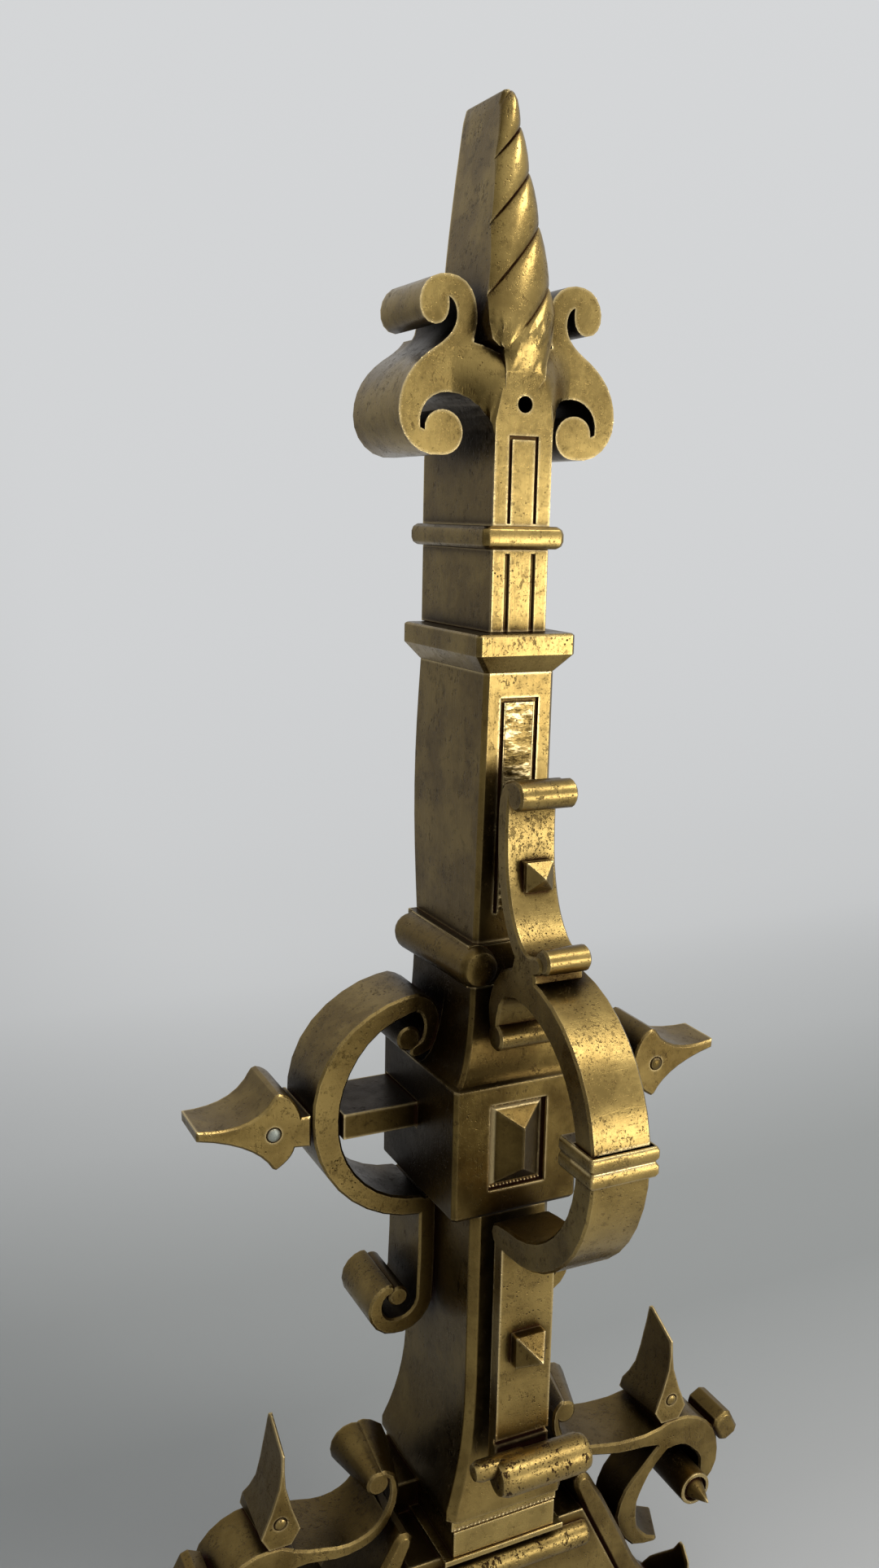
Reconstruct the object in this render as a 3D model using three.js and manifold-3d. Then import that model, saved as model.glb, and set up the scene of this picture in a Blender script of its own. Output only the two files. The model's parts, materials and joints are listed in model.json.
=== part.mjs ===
// Andiron front: a strapwork shaft of brass castings stacked on a tie rod, with a horned finial,
// scrolled rings at the front and sides, arrowheads on a cross bar and a pair of strapwork legs.
// Millimetres. X to the right, Y to the back, Z up.

import * as THREE from "three";
import { mergeVertices } from "three/addons/utils/BufferGeometryUtils.js";
import Module from "manifold-3d";

const wasm = await Module();
wasm.setup();

// ---------------------------------------------------------------- driving dimensions

const GAP = 0.3; // clearance between neighbouring pieces that meet on curved or sloping faces
const EDGE = 0.9; // broken edge of the strapwork castings
const POINT = 0.25; // half width of a filed point
const FLATNESS = 0.01; // facets that leave a plane by less than this are one face

// Heights of the stack, from the floor up.
const LEG_CLEARANCE = 50; // floor to the underside of the base body
const BASE_BODY_HEIGHT = 49; // up to the step that carries the fillet and the plinth
const BEAD_SLAB_HEIGHT = 6;
const LOWER_SHAFT_HEIGHT = 140;
const BLOCK_HEIGHT = 97; // with its coved shoulders
const BLOCK_FACE_HEIGHT = 57.2; // the upright faces below the shoulders
const AXIS_HEIGHT = 37; // centres of the side rings and the front ring's datum, above the foot of the block
const CUSHION_HEIGHT = 18;
const UPPER_SHAFT_HEIGHT = 110;
const LOWER_COLLAR_HEIGHT = 15.3;
const NECK_HEIGHT = 32.3;
const UPPER_COLLAR_HEIGHT = 8.7;
const STEM_HEIGHT = 59; // finial stem, up to the foot of the horn
const HORN_HEIGHT = 102; // horn above the stem

// Half widths and depths of the castings in the stack.
const BASE = { stepHalf: 44, step: -8, spread: 0.5, front: -40, back: 26, archHalf: 42, archRise: 22 };
const BEAD_SLAB = { half: 26, front: -44.5, back: 26 };
const LOWER_SHAFT = {
  half: 18.8, front: -43, back: 25, chamfer: 3.4, footHalf: 28.5, footFront: -47.4, footBack: 29,
  footBand: 5, flare: 52,
};
const BLOCK = {
  half: 29.5, front: -45, back: 27, chamfer: 1.6, neckHalf: 17.5, neckFront: -34, neckBack: 24,
};
const CUSHION = { half: 20, rollRadius: 8.5, rollFront: -41, rollBack: 24, swing: 4, front: -34, back: 24 };
const UPPER_SHAFT = {
  half: 16.4, topHalf: 15.6, front: -33, topFront: -34.8, back: 24.4, topBack: 26.5, belly: 4.4, chamfer: 1.8,
};
const PANEL = { offset: 7.6, line: 1.8, depth: 1.2, foot: 12, head: 10 }; // incised frame
const LOWER_COLLAR = { half: 21.8, front: -39.9, back: 30, foot: 15.6, footFront: -35, bevel: 7 };
const NECK = { half: 12.5, front: -31.5, back: 31.5 };
const UPPER_COLLAR = { half: 18, front: -35.6, back: 33.2, round: 2 };
const LINE_GROOVE = { offset: 5.7, width: 1.5, depth: 1.1, foot: 0.8, head: 32.4 };

// Finial strapwork, measured from the top of the upper collar.
const FINIAL = {
  front: -20, back: 26, upperBack: 17, upperScroll: 72, holeRadius: 3.2, holeHeight: 45.5, holeDepth: 14,
};
const HORN = {
  half: 14.4, topHalf: 3, foot: 0.6, close: 0.14, shoulder: 0.18, edge: -31.2, lean: 20,
  bulge: 5.5, topBulge: 3.2, backFoot: 13, backTop: 19.5, crown: 0.972, round: 1.5,
};
const GADROON = { first: 15.5, pitch: 26.1, tighten: 1.55, climb: 1.15, depth: 2.2, count: 4 };

// Tie rod through the stack.
const ROD = { y: -16, radius: 4, bore: 4.6, socket: 34, engaged: 30, below: 14 };
const NUT = { across: 17, height: 9 };
const WASHER = { radius: 15, height: 3 };

// Jewel in the sunk panel of the block.
const JEWEL = { half: 9.8, height: 31, ridge: 12, rise: 8.2 };
const JEWEL_PANEL = { half: 13.1, height: 37.5, depth: 2.6, bottom: 11.5 };

// Side rings: C-scrolls whose lower end runs down the lower shaft.
const RING = {
  x: 26, outer: 51, side: 12.5, thin: 9, front: -9, back: 24, eyeX: 33.6, eyeZ: 31, eye: 5.4,
  tailHalf: 4, tailDrop: 80, footScrollX: 38, footScrollDrop: 91, footScroll: 15,
};

// Cross bar through the block and both rings, with an arrowhead at each end.
const BAR = {
  height: 11, drop: 3.5, front: -9, back: 24, tenonHeight: 6, tenonFront: -1, tenonBack: 8, tenonEnd: 8,
};
// Reaches are measured outwards from the ring, heights from the level of the rivets.
const ARROW = {
  neckTop: 4.2, neckBottom: -9.4, throat: 4.1, lowerThroat: 7, barb: 14.6, barbTop: 16.2, barbBottom: -17,
  length: 48.6, tipTop: 6.2, tipBottom: 1.8, front: -9, back: 24, tipBack: 13.4,
};
const ARROW_RIVET = { reach: 16.3, lift: -1, radius: 3, head: 0.9, seat: 3 };

// Front strap and ring, a profile in the Y-Z plane.
const STRAP = {
  half: 12.7, upperHigh: 9.6, eyeLow: -11.8, eyeHigh: 7.6, bossHalf: 6.2,
  tailFront: -57, tailThick: 6.2, tailDrop: 151,
};
const TAIL_SLOT = { lap: 0.6, height: 2.4, depth: 2 }; // shadow line where the strap meets the roll
const FRONT_RING = {
  y: -61, z: 16.5, top: 53, front: 54.2, bottom: 57, topHalf: 6.4, frontHalf: 6, endHalf: 5.2,
};
const CLIP = { bottom: 12.5, height: 12, wall: 1.9, tongue: 9, ease: 0.8, groove: 1 };
const STUD_SHANK = { radius: 3.4, grip: 9 };
const UPPER_STUD = { height: 110.2, half: 6.1, block: 1.6, peak: 4.8, seat: -53.6, bossFront: -46 };
const LOWER_STUD = { height: -91.5, half: 7, block: 4.6, peak: 10.5, seat: STRAP.tailFront, bossFront: -53 };
const FOOT_ROLL = { half: 27.3, notch: 9.3, radius: 8.3, rise: 6.9, round: 4.5 }; // rise from the strap's end
const ROLL_NOSE = { radius: 4.4, lift: 4, set: 2.5, round: 3.6 }; // lip at the roll's left end

// Mouldings on the front of the base body.
const PLINTH = { half: 25.1, front: -45.1, height: 12.4 };
const FILLET = { half: 29.5, front: -46.2, height: 2.6 };
const TORUS = { half: 45.6, radius: 6.2, drop: 11 };

// Legs, bracket strapwork and what it carries.
const LEG = { half: 5.6, front: -38, back: 4, footX: 112, toe: 13, rise: 60 };
// The brackets hang from a level above the underside of the base body.
const BRACKET = { front: -29.5, back: 4, curlBack: 1, braceBack: -9, datum: 247 };
const FIN = {
  x: 98.4, rise: 51.4, width: 1, lean: 1.8, front: -29.5, depth: 32.9, drop: 176.4, tip: 0.49,
  reach: [1, 0.94, 0.86, 0.79, 0.7, 0.65, 0.59, 0.55],
};
const FIN_RIVET = { x: 98.4, drop: 165, radius: 2.6, head: 0.8, depth: 8 };
const EYE = {
  x: 107, drop: 208, radius: 8.2, front: -41, pinBase: 5.6, pinLength: 12.5, recess: 3, shank: 3,
};
const LUG = { x: 132.8, drop: 190, half: 7.4, width: 5.6, chamfer: 2.4, front: -29.5, back: -6 };
const SPUR = {
  x: 112.4, rise: 38, width: 0.82, lean: 1.2, front: -34, depth: 34, sole: 9.5, tip: 0.13,
  reach: [1, 1, 0.95, 0.87, 0.65, 0.49, 0.33, 0.22],
};
// Levels of a thorn as shares of its rise, with the half widths of its face and of its heel.
const THORN = [
  { at: 0, face: 5, heel: 7.6 }, { at: 0.125, face: 8.8, heel: 7.2 }, { at: 0.22, face: 7, heel: 5 },
  { at: 0.34, face: 4.6, heel: 3 }, { at: 0.54, face: 1.5, heel: 2.3 }, { at: 0.68, face: 0.8, heel: 2 },
  { at: 0.83, face: 0.6, heel: 1.7 }, { at: 1, face: 0.6, heel: 1 },
];

// ---------------------------------------------------------------- derived levels

const BASE_Z = LEG_CLEARANCE;
const FILLET_Z = BASE_Z + BASE_BODY_HEIGHT;
const PLINTH_Z = FILLET_Z + FILLET.height;
const BEAD_Z = PLINTH_Z + PLINTH.height;
const LOWER_SHAFT_Z = BEAD_Z + BEAD_SLAB_HEIGHT;
const BLOCK_Z = LOWER_SHAFT_Z + LOWER_SHAFT_HEIGHT;
const CUSHION_Z = BLOCK_Z + BLOCK_HEIGHT;
const UPPER_SHAFT_Z = CUSHION_Z + CUSHION_HEIGHT;
const LOWER_COLLAR_Z = UPPER_SHAFT_Z + UPPER_SHAFT_HEIGHT;
const NECK_Z = LOWER_COLLAR_Z + LOWER_COLLAR_HEIGHT;
const UPPER_COLLAR_Z = NECK_Z + NECK_HEIGHT;
const FINIAL_Z = UPPER_COLLAR_Z + UPPER_COLLAR_HEIGHT;
const HORN_Z = FINIAL_Z + STEM_HEIGHT;
const AXIS_Z = BLOCK_Z + AXIS_HEIGHT;
const BRACKET_Z = BASE_Z + BRACKET.datum;
const ARROW_X = RING.x + RING.outer + GAP; // where an arrowhead meets its ring

// ---------------------------------------------------------------- materials

const brass = (color, roughness = 0.38) => new THREE.MeshStandardMaterial({ color, roughness, metalness: 1 });
const FINISH = {
  polished: brass(0xb69a5c, 0.32),
  aged: brass(0x8f7b4e, 0.45),
  shadowed: brass(0x6f6145, 0.5),
  pin: new THREE.MeshStandardMaterial({ color: 0x8d8a84, roughness: 0.4, metalness: 1 }),
  iron: new THREE.MeshStandardMaterial({ color: 0x3c3a38, roughness: 0.7, metalness: 0.8 }),
};

// ---------------------------------------------------------------- solids

// Merges shared corners, drops faces without area and turns every face outwards.
function closed(geometry) {
  const bare = geometry.clone();
  bare.deleteAttribute("normal");
  bare.deleteAttribute("uv");
  const merged = mergeVertices(bare, 1e-4);
  const point = merged.attributes.position;
  const index = Array.from(merged.index.array);
  const kept = [];
  let volume = 0;
  const [a, b, c] = [new THREE.Vector3(), new THREE.Vector3(), new THREE.Vector3()];
  for (let i = 0; i < index.length; i += 3) {
    const [u, v, w] = index.slice(i, i + 3);
    if (u === v || v === w || w === u) continue;
    kept.push(u, v, w);
    a.fromBufferAttribute(point, u);
    b.fromBufferAttribute(point, v);
    c.fromBufferAttribute(point, w);
    volume += a.dot(b.cross(c));
  }
  if (volume < 0) kept.reverse();
  merged.setIndex(kept);
  return merged;
}

function toSolid(geometry) {
  const mesh = closed(geometry);
  return new wasm.Manifold(new wasm.Mesh({
    numProp: 3,
    vertProperties: new Float32Array(mesh.attributes.position.array),
    triVerts: new Uint32Array(mesh.index.array),
  }));
}

function toGeometry(solid) {
  const mesh = solid.simplify(FLATNESS).getMesh();
  const geometry = new THREE.BufferGeometry();
  geometry.setAttribute("position", new THREE.BufferAttribute(new Float32Array(mesh.vertProperties), 3));
  geometry.setIndex(new THREE.BufferAttribute(new Uint32Array(mesh.triVerts), 1));
  return geometry;
}

const join = (...parts) => toGeometry(parts.map(toSolid).reduce((whole, part) => whole.add(part)));
const cut = (body, ...tools) =>
  toGeometry(tools.map(toSolid).reduce((whole, tool) => whole.subtract(tool), toSolid(body)));
const common = (body, other) => toGeometry(toSolid(body).intersect(toSolid(other)));

function box(x0, x1, y0, y1, z0, z1) {
  return new THREE.BoxGeometry(x1 - x0, y1 - y0, z1 - z0)
    .translate((x0 + x1) / 2, (y0 + y1) / 2, (z0 + z1) / 2);
}

// A round bar along one axis, through a centre, with both rims rounded.
function roundBar(axis, centre, radius, low, high, round = 0, sides = 24) {
  const half = (high - low) / 2;
  const steps = round > 0 ? 2 : 0;
  const profile = [new THREE.Vector2(0, -half)];
  for (const end of [-1, 1]) {
    for (let i = 0; i <= steps; i += 1) {
      const turn = (Math.PI / 2) * (steps ? (end < 0 ? i : steps - i) / steps : 1);
      const r = radius - round + round * Math.sin(turn);
      profile.push(new THREE.Vector2(r, end * (half - round + round * Math.cos(turn))));
    }
  }
  profile.push(new THREE.Vector2(0, half));
  const bar = new THREE.LatheGeometry(profile, sides);
  if (axis === "x") bar.rotateZ(-Math.PI / 2);
  if (axis === "z") bar.rotateX(Math.PI / 2);
  const middle = (low + high) / 2;
  return bar.translate(
    axis === "x" ? middle : centre[0],
    axis === "y" ? middle : centre[1],
    axis === "z" ? middle : centre[2],
  );
}

// A pin along Y with a domed head at the front.
function domedPin(x, z, radius, front, back, head) {
  const profile = [at(0, back), at(radius, back), at(radius, front)];
  for (const step of [0.35, 0.7]) {
    const turn = (step * Math.PI) / 2;
    profile.push(at(radius * Math.cos(turn), front - head * Math.sin(turn)));
  }
  profile.push(at(0, front - head));
  return new THREE.LatheGeometry(profile, 20).translate(x, 0, z);
}

// Skins a row of closed sections, each a list of points that runs anticlockwise seen from above.
function loft(sections) {
  const count = sections[0].length;
  const points = sections.flat();
  const index = [];
  for (let s = 0; s + 1 < sections.length; s += 1) {
    for (let i = 0; i < count; i += 1) {
      const j = (i + 1) % count;
      const [a, b] = [s * count + i, s * count + j];
      index.push(a, b, b + count, a, b + count, a + count);
    }
  }
  const top = (sections.length - 1) * count;
  for (let i = 1; i + 1 < count; i += 1) {
    index.push(0, i + 1, i, top, top + i, top + i + 1);
  }
  const geometry = new THREE.BufferGeometry().setFromPoints(points);
  geometry.setIndex(index);
  return geometry;
}

// Rectangular section with cut corners.
function octagon(half, front, back, chamfer, z) {
  const corners = [
    [-half, front + chamfer], [-half + chamfer, front], [half - chamfer, front], [half, front + chamfer],
    [half, back - chamfer], [half - chamfer, back], [-half + chamfer, back], [-half, back - chamfer],
  ];
  return corners.map(([x, y]) => new THREE.Vector3(x, y, z));
}

function extrude(shape, length, bevel) {
  return new THREE.ExtrudeGeometry(shape, {
    depth: length - 2 * bevel, steps: 1, curveSegments: 7, bevelEnabled: bevel > 0,
    bevelThickness: bevel, bevelSize: bevel, bevelOffset: -bevel, bevelSegments: 1,
  }).translate(0, 0, bevel);
}

// A profile drawn in X and Z, run along Y.
function alongY(shape, front, back, bevel = 0) {
  return extrude(shape, back - front, bevel).rotateX(Math.PI / 2).translate(0, back, 0);
}

// A profile drawn in Y and Z, run along X.
function alongX(shape, low, high, bevel = 0) {
  const turn = new THREE.Matrix4().makeBasis(
    new THREE.Vector3(0, 1, 0), new THREE.Vector3(0, 0, 1), new THREE.Vector3(1, 0, 0));
  return extrude(shape, high - low, bevel).applyMatrix4(turn).translate(low, 0, 0);
}

const mirrored = (geometry) => geometry.clone().scale(-1, 1, 1);

// Completes an outline whose right half starts and ends on the middle line.
function symmetric(half) {
  const right = half.getPoints(6);
  const left = right.slice(1, -1).map((point) => new THREE.Vector2(-point.x, point.y));
  return new THREE.Shape([...right, ...left.reverse()]);
}

// ---------------------------------------------------------------- strapwork outlines

const at = (x, z) => new THREE.Vector2(x, z);

// Points of an arc whose radius runs evenly from one value to another.
function arc(x, z, r0, r1, degrees0, degrees1, steps) {
  return Array.from({ length: steps + 1 }, (_, i) => {
    const share = i / steps;
    const radius = r0 + (r1 - r0) * share;
    const turn = THREE.MathUtils.degToRad(degrees0 + (degrees1 - degrees0) * share);
    return at(x + radius * Math.cos(turn), z + radius * Math.sin(turn));
  });
}

const spline = (points, steps) => new THREE.SplineCurve(points).getPoints(steps);

// Half width along a strap, from stops of [share of the length, half width].
function taper(stops) {
  return (share) => {
    const next = Math.max(1, stops.findIndex(([place]) => place >= share));
    const [[p0, w0], [p1, w1]] = [stops[next - 1], stops[next]];
    const t = THREE.MathUtils.smoothstep(share, p0, p1);
    return w0 + (w1 - w0) * t;
  };
}

// Outline of a strap with round ends that follows a centre line.
function strap(line, widthAt) {
  const capSteps = 4;
  const reach = [0];
  for (let i = 1; i < line.length; i += 1) reach.push(reach[i - 1] + line[i].distanceTo(line[i - 1]));
  const total = reach.at(-1);
  const left = [];
  const right = [];
  line.forEach((point, i) => {
    const along = line[Math.min(i + 1, line.length - 1)].clone().sub(line[Math.max(i - 1, 0)]).normalize();
    const offset = at(-along.y, along.x).multiplyScalar(widthAt(reach[i] / total));
    left.push(point.clone().add(offset));
    right.push(point.clone().sub(offset));
  });
  const cap = (centre, from) => {
    const spoke = from.clone().sub(centre);
    return Array.from({ length: capSteps - 1 }, (_, i) =>
      spoke.clone().rotateAround(at(0, 0), (-Math.PI * (i + 1)) / capSteps).add(centre));
  };
  const outline = [
    ...left, ...cap(line.at(-1), left.at(-1)),
    ...right.reverse(), ...cap(line[0], right.at(-1)),
  ];
  return new THREE.Shape(outline);
}

// Round eye that closes a volute.
function eyeShape(x, z, radius) {
  return new THREE.Shape(arc(x, z, radius, radius, 0, 337.5, 15));
}

// ---------------------------------------------------------------- base and shaft

const baseHalfAt = (height) => BASE.stepHalf + BASE.spread * (BASE_BODY_HEIGHT - height);

function rodBore(low, high) {
  return roundBar("z", [0, ROD.y, 0], ROD.bore, low, high, 0, 20);
}

function baseBody() {
  const foot = baseHalfAt(0);
  const top = baseHalfAt(BEAD_Z - BASE_Z);
  const shape = new THREE.Shape();
  shape.moveTo(-foot, BASE_Z);
  shape.lineTo(-BASE.archHalf, BASE_Z);
  shape.quadraticCurveTo(-BASE.archHalf * 0.9, BASE_Z + BASE.archRise, 0, BASE_Z + BASE.archRise);
  shape.quadraticCurveTo(BASE.archHalf * 0.9, BASE_Z + BASE.archRise, BASE.archHalf, BASE_Z);
  shape.lineTo(foot, BASE_Z);
  shape.lineTo(top, BEAD_Z);
  shape.lineTo(-top, BEAD_Z);
  const seat = box(-NUT.across, NUT.across, ROD.y - NUT.across, ROD.y + NUT.across, BASE_Z,
    BASE_Z + BASE.archRise + 1);
  const body = alongY(shape, BASE.front, BASE.back, 0);
  const step = box(-foot, foot, BASE.front - 1, BASE.step, FILLET_Z, BEAD_Z + 1);
  return cut(body, seat, step, rodBore(BASE_Z, FILLET_Z + 1));
}

function beadSlab() {
  const slab = box(-BEAD_SLAB.half, BEAD_SLAB.half, BEAD_SLAB.front, BEAD_SLAB.back, BEAD_Z, LOWER_SHAFT_Z);
  return cut(slab, rodBore(BEAD_Z - 1, LOWER_SHAFT_Z + 1));
}

function lowerShaft() {
  const s = LOWER_SHAFT;
  const sections = [octagon(s.footHalf, s.footFront, s.footBack, s.chamfer, LOWER_SHAFT_Z)];
  const steps = 7;
  for (let i = 0; i <= steps; i += 1) {
    const share = (1 - i / steps) ** 2.2;
    const half = s.half + (s.footHalf - s.half) * share;
    const front = s.front + (s.footFront - s.front) * share;
    const back = s.back + (s.footBack - s.back) * share;
    const z = LOWER_SHAFT_Z + s.footBand + (s.flare * i) / steps;
    sections.push(octagon(half, front, back, s.chamfer, z));
  }
  sections.push(octagon(s.half, s.front, s.back, s.chamfer, BLOCK_Z));
  return cut(loft(sections), rodBore(LOWER_SHAFT_Z - 1, BLOCK_Z + 1), studHole(LOWER_STUD, s.front));
}

function centreBlock() {
  const b = BLOCK;
  const sections = [
    octagon(b.half - 1.2, b.front + 1.2, b.back - 1.2, b.chamfer, BLOCK_Z),
    octagon(b.half, b.front, b.back, b.chamfer, BLOCK_Z + 1.6),
    octagon(b.half, b.front, b.back, b.chamfer, BLOCK_Z + BLOCK_FACE_HEIGHT),
  ];
  const steps = 7;
  for (let i = 1; i <= steps; i += 1) {
    const turn = (Math.PI / 2) * (i / steps);
    const inward = Math.sin(turn); // the shoulder is a cove: flat at the face, upright at the neck
    const rise = 1 - Math.cos(turn);
    const half = b.half + (b.neckHalf - b.half) * inward;
    const front = b.front + (b.neckFront - b.front) * inward;
    const back = b.back + (b.neckBack - b.back) * inward;
    const z = BLOCK_Z + BLOCK_FACE_HEIGHT + (BLOCK_HEIGHT - BLOCK_FACE_HEIGHT) * rise;
    sections.push(octagon(half, front, back, b.chamfer, z));
  }
  const panelZ = BLOCK_Z + JEWEL_PANEL.bottom;
  const panel = box(-JEWEL_PANEL.half, JEWEL_PANEL.half, b.front - 1, b.front + JEWEL_PANEL.depth, panelZ,
    panelZ + JEWEL_PANEL.height);
  const notch = box(b.neckHalf + GAP, b.half + 1, RING.front - GAP, b.back + 1, BLOCK_Z + BLOCK_FACE_HEIGHT,
    CUSHION_Z + 1);
  return cut(loft(sections), panel, rodBore(BLOCK_Z - 1, CUSHION_Z + 1), barMortise(b.half + 1), notch,
    mirrored(notch));
}

// Hipped pyramid that stands in the sunk panel, with its ridge upright.
function jewel() {
  const back = BLOCK.front + JEWEL_PANEL.depth;
  const z = BLOCK_Z + JEWEL_PANEL.bottom + JEWEL_PANEL.height / 2;
  const corners = [
    [-JEWEL.half, back, z - JEWEL.height / 2], [JEWEL.half, back, z - JEWEL.height / 2],
    [JEWEL.half, back, z + JEWEL.height / 2], [-JEWEL.half, back, z + JEWEL.height / 2],
    [0, back - JEWEL.rise, z - JEWEL.ridge / 2], [0, back - JEWEL.rise, z + JEWEL.ridge / 2],
  ];
  const geometry = new THREE.BufferGeometry();
  geometry.setFromPoints(corners.map((corner) => new THREE.Vector3(...corner)));
  geometry.setIndex([0, 1, 4, 1, 2, 5, 1, 5, 4, 2, 3, 5, 3, 0, 4, 3, 4, 5, 0, 3, 2, 0, 2, 1]);
  return geometry;
}

function cushion() {
  const c = CUSHION;
  const middle = CUSHION_Z + CUSHION_HEIGHT / 2;
  const core = box(-c.half, c.half, c.front, c.back, CUSHION_Z, UPPER_SHAFT_Z);
  const rolls = [-1, 1].map((side) => {
    const roll = roundBar("y", [side * c.half, 0, middle], c.rollRadius, c.rollFront, c.rollBack, 5, 20);
    return flared(roll, c.rollBack, c.rollFront, () => at(-side * c.swing, 0));
  });
  return cut(join(core, ...rolls), rodBore(CUSHION_Z - 1, UPPER_SHAFT_Z + 1));
}

function upperShaft() {
  const u = UPPER_SHAFT;
  const steps = 8;
  const sections = [];
  for (let i = 0; i <= steps; i += 1) {
    const share = i / steps;
    const half = u.half + (u.topHalf - u.half) * share;
    const front = u.front + (u.topFront - u.front) * share;
    const back = u.back + (u.topBack - u.back) * share + u.belly * Math.sin(Math.PI * share);
    sections.push(octagon(half, front, back, u.chamfer, UPPER_SHAFT_Z + UPPER_SHAFT_HEIGHT * share));
  }
  return cut(loft(sections), ...incisedFrame(), rodBore(UPPER_SHAFT_Z - 1, LOWER_COLLAR_Z + 1),
    studHole(UPPER_STUD, u.front));
}

const upperFrontAt = (z) =>
  UPPER_SHAFT.front + (UPPER_SHAFT.topFront - UPPER_SHAFT.front) * ((z - UPPER_SHAFT_Z) / UPPER_SHAFT_HEIGHT);

// Two upright lines joined by a third at the top, cut into the front of the upper shaft.
function incisedFrame() {
  const [outer, inner] = [PANEL.offset + PANEL.line / 2, PANEL.offset - PANEL.line / 2];
  const [low, high] = [UPPER_SHAFT_Z + PANEL.foot, LOWER_COLLAR_Z - PANEL.head];
  const line = (x0, x1, z0, z1) => loft([z0, z1].map((z) => {
    const [front, back] = [upperFrontAt(z) - 1, upperFrontAt(z) + PANEL.depth];
    return [[x0, front], [x1, front], [x1, back], [x0, back]].map(([x, y]) => new THREE.Vector3(x, y, z));
  }));
  return [
    line(-outer, -inner, low, high), line(inner, outer, low, high),
    line(-outer, outer, high - PANEL.line, high),
  ];
}

function lowerCollar() {
  const c = LOWER_COLLAR;
  const shoulder = LOWER_COLLAR_Z + c.bevel;
  const sections = [
    octagon(c.foot, c.footFront, c.back - 3, 1.6, LOWER_COLLAR_Z),
    octagon(c.half, c.front, c.back, 1.6, shoulder),
    octagon(c.half, c.front, c.back, 1.6, NECK_Z - 0.8),
    octagon(c.half - 0.8, c.front + 0.8, c.back - 0.8, 1.6, NECK_Z),
  ];
  return cut(loft(sections), rodBore(LOWER_COLLAR_Z - 1, NECK_Z + 1));
}

function lineGrooves(front, low, high) {
  return [-1, 1].map((side) => box(
    side * LINE_GROOVE.offset - LINE_GROOVE.width / 2, side * LINE_GROOVE.offset + LINE_GROOVE.width / 2,
    front - 1, front + LINE_GROOVE.depth, low, high));
}

function neck() {
  const block = box(-NECK.half, NECK.half, NECK.front, NECK.back, NECK_Z, UPPER_COLLAR_Z);
  const grooves = lineGrooves(NECK.front, NECK_Z - 1, UPPER_COLLAR_Z - 2);
  return cut(block, ...grooves, rodBore(NECK_Z - 1, UPPER_COLLAR_Z + 1));
}

function upperCollar() {
  const c = UPPER_COLLAR;
  const inset = (amount, z) => octagon(c.half - amount, c.front + amount, c.back - amount, c.round, z);
  const sections = [
    inset(c.round, UPPER_COLLAR_Z), inset(0.5, UPPER_COLLAR_Z + 1.2), inset(0, UPPER_COLLAR_Z + 3),
    inset(0, FINIAL_Z - 3), inset(0.5, FINIAL_Z - 1.2), inset(c.round, FINIAL_Z),
  ];
  return cut(loft(sections), rodBore(UPPER_COLLAR_Z - 1, FINIAL_Z + 1));
}

// ---------------------------------------------------------------- finial

function finial() {
  const z = (height) => FINIAL_Z + height;
  const plate = new THREE.Shape();
  plate.moveTo(0, z(24));
  plate.lineTo(NECK.half - 0.4, z(24));
  plate.lineTo(NECK.half - 0.4, z(32));
  plate.bezierCurveTo(13.5, z(42), 18, z(49.5), 27, z(49.5)); // arch over the eye
  plate.bezierCurveTo(34, z(49.5), 40, z(44), 38.6, z(36));
  plate.lineTo(36.6, z(35.2)); // blind end of the slit
  plate.bezierCurveTo(37, z(40), 33.4, z(43), 29, z(43));
  plate.absarc(29, z(34.6), 8.4, Math.PI / 2, Math.PI * 1.5, false); // eye of the lower scroll
  plate.bezierCurveTo(40, z(24.5), 47.5, z(33), 47.5, z(42));
  plate.bezierCurveTo(47.5, z(52), 42, z(59), 35, z(64)); // outer shoulder up to the waist
  plate.bezierCurveTo(29.5, z(67.5), 24.5, z(71), 24, z(76.5));
  plate.bezierCurveTo(23.8, z(80), 25, z(83), 27.6, z(84)); // slit of the upper scroll
  plate.bezierCurveTo(26.8, z(80), 27.4, z(74), 33, z(73.6));
  plate.bezierCurveTo(40, z(73.6), 41.5, z(83), 37, z(88.4));
  plate.bezierCurveTo(33, z(93.4), 22, z(93.6), 18, z(87));
  plate.bezierCurveTo(15, z(82), 14.6, z(75), 17.2, z(68));
  plate.bezierCurveTo(12, z(67), 6, z(62), 0, z(56));
  const span = RING.outer;
  const behind = box(-span, span, FINIAL.upperBack, FINIAL.back + 1, z(FINIAL.upperScroll),
    z(STEM_HEIGHT + HORN_HEIGHT));
  const scrolls = cut(alongY(symmetric(plate), NECK.front, FINIAL.back, EDGE), behind);
  const stemSide = new THREE.Shape();
  stemSide.moveTo(NECK.front, z(0));
  stemSide.lineTo(NECK.back, z(0));
  stemSide.lineTo(NECK.back, z(26));
  stemSide.bezierCurveTo(NECK.back, z(34), FINIAL.back, z(40), FINIAL.back, z(54));
  stemSide.lineTo(NECK.front, z(STEM_HEIGHT - 1));
  const stem = alongX(stemSide, -NECK.half, NECK.half, 0);
  const groove = LINE_GROOVE;
  const hole = roundBar("y", [0, 0, z(FINIAL.holeHeight)], FINIAL.holeRadius, NECK.front - 1,
    NECK.front + FINIAL.holeDepth, 0, 16);
  const panelTop = box(-groove.offset - groove.width / 2, groove.offset + groove.width / 2,
    NECK.front - 1, NECK.front + groove.depth, z(groove.head), z(groove.head + groove.width));
  const body = join(common(join(scrolls, stem), finialFace()), horn());
  return cut(body, hole, panelTop, ...lineGrooves(NECK.front, z(groove.foot), z(groove.head + 0.1)),
    rodBore(FINIAL_Z - 1, FINIAL_Z + ROD.socket));
}

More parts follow.
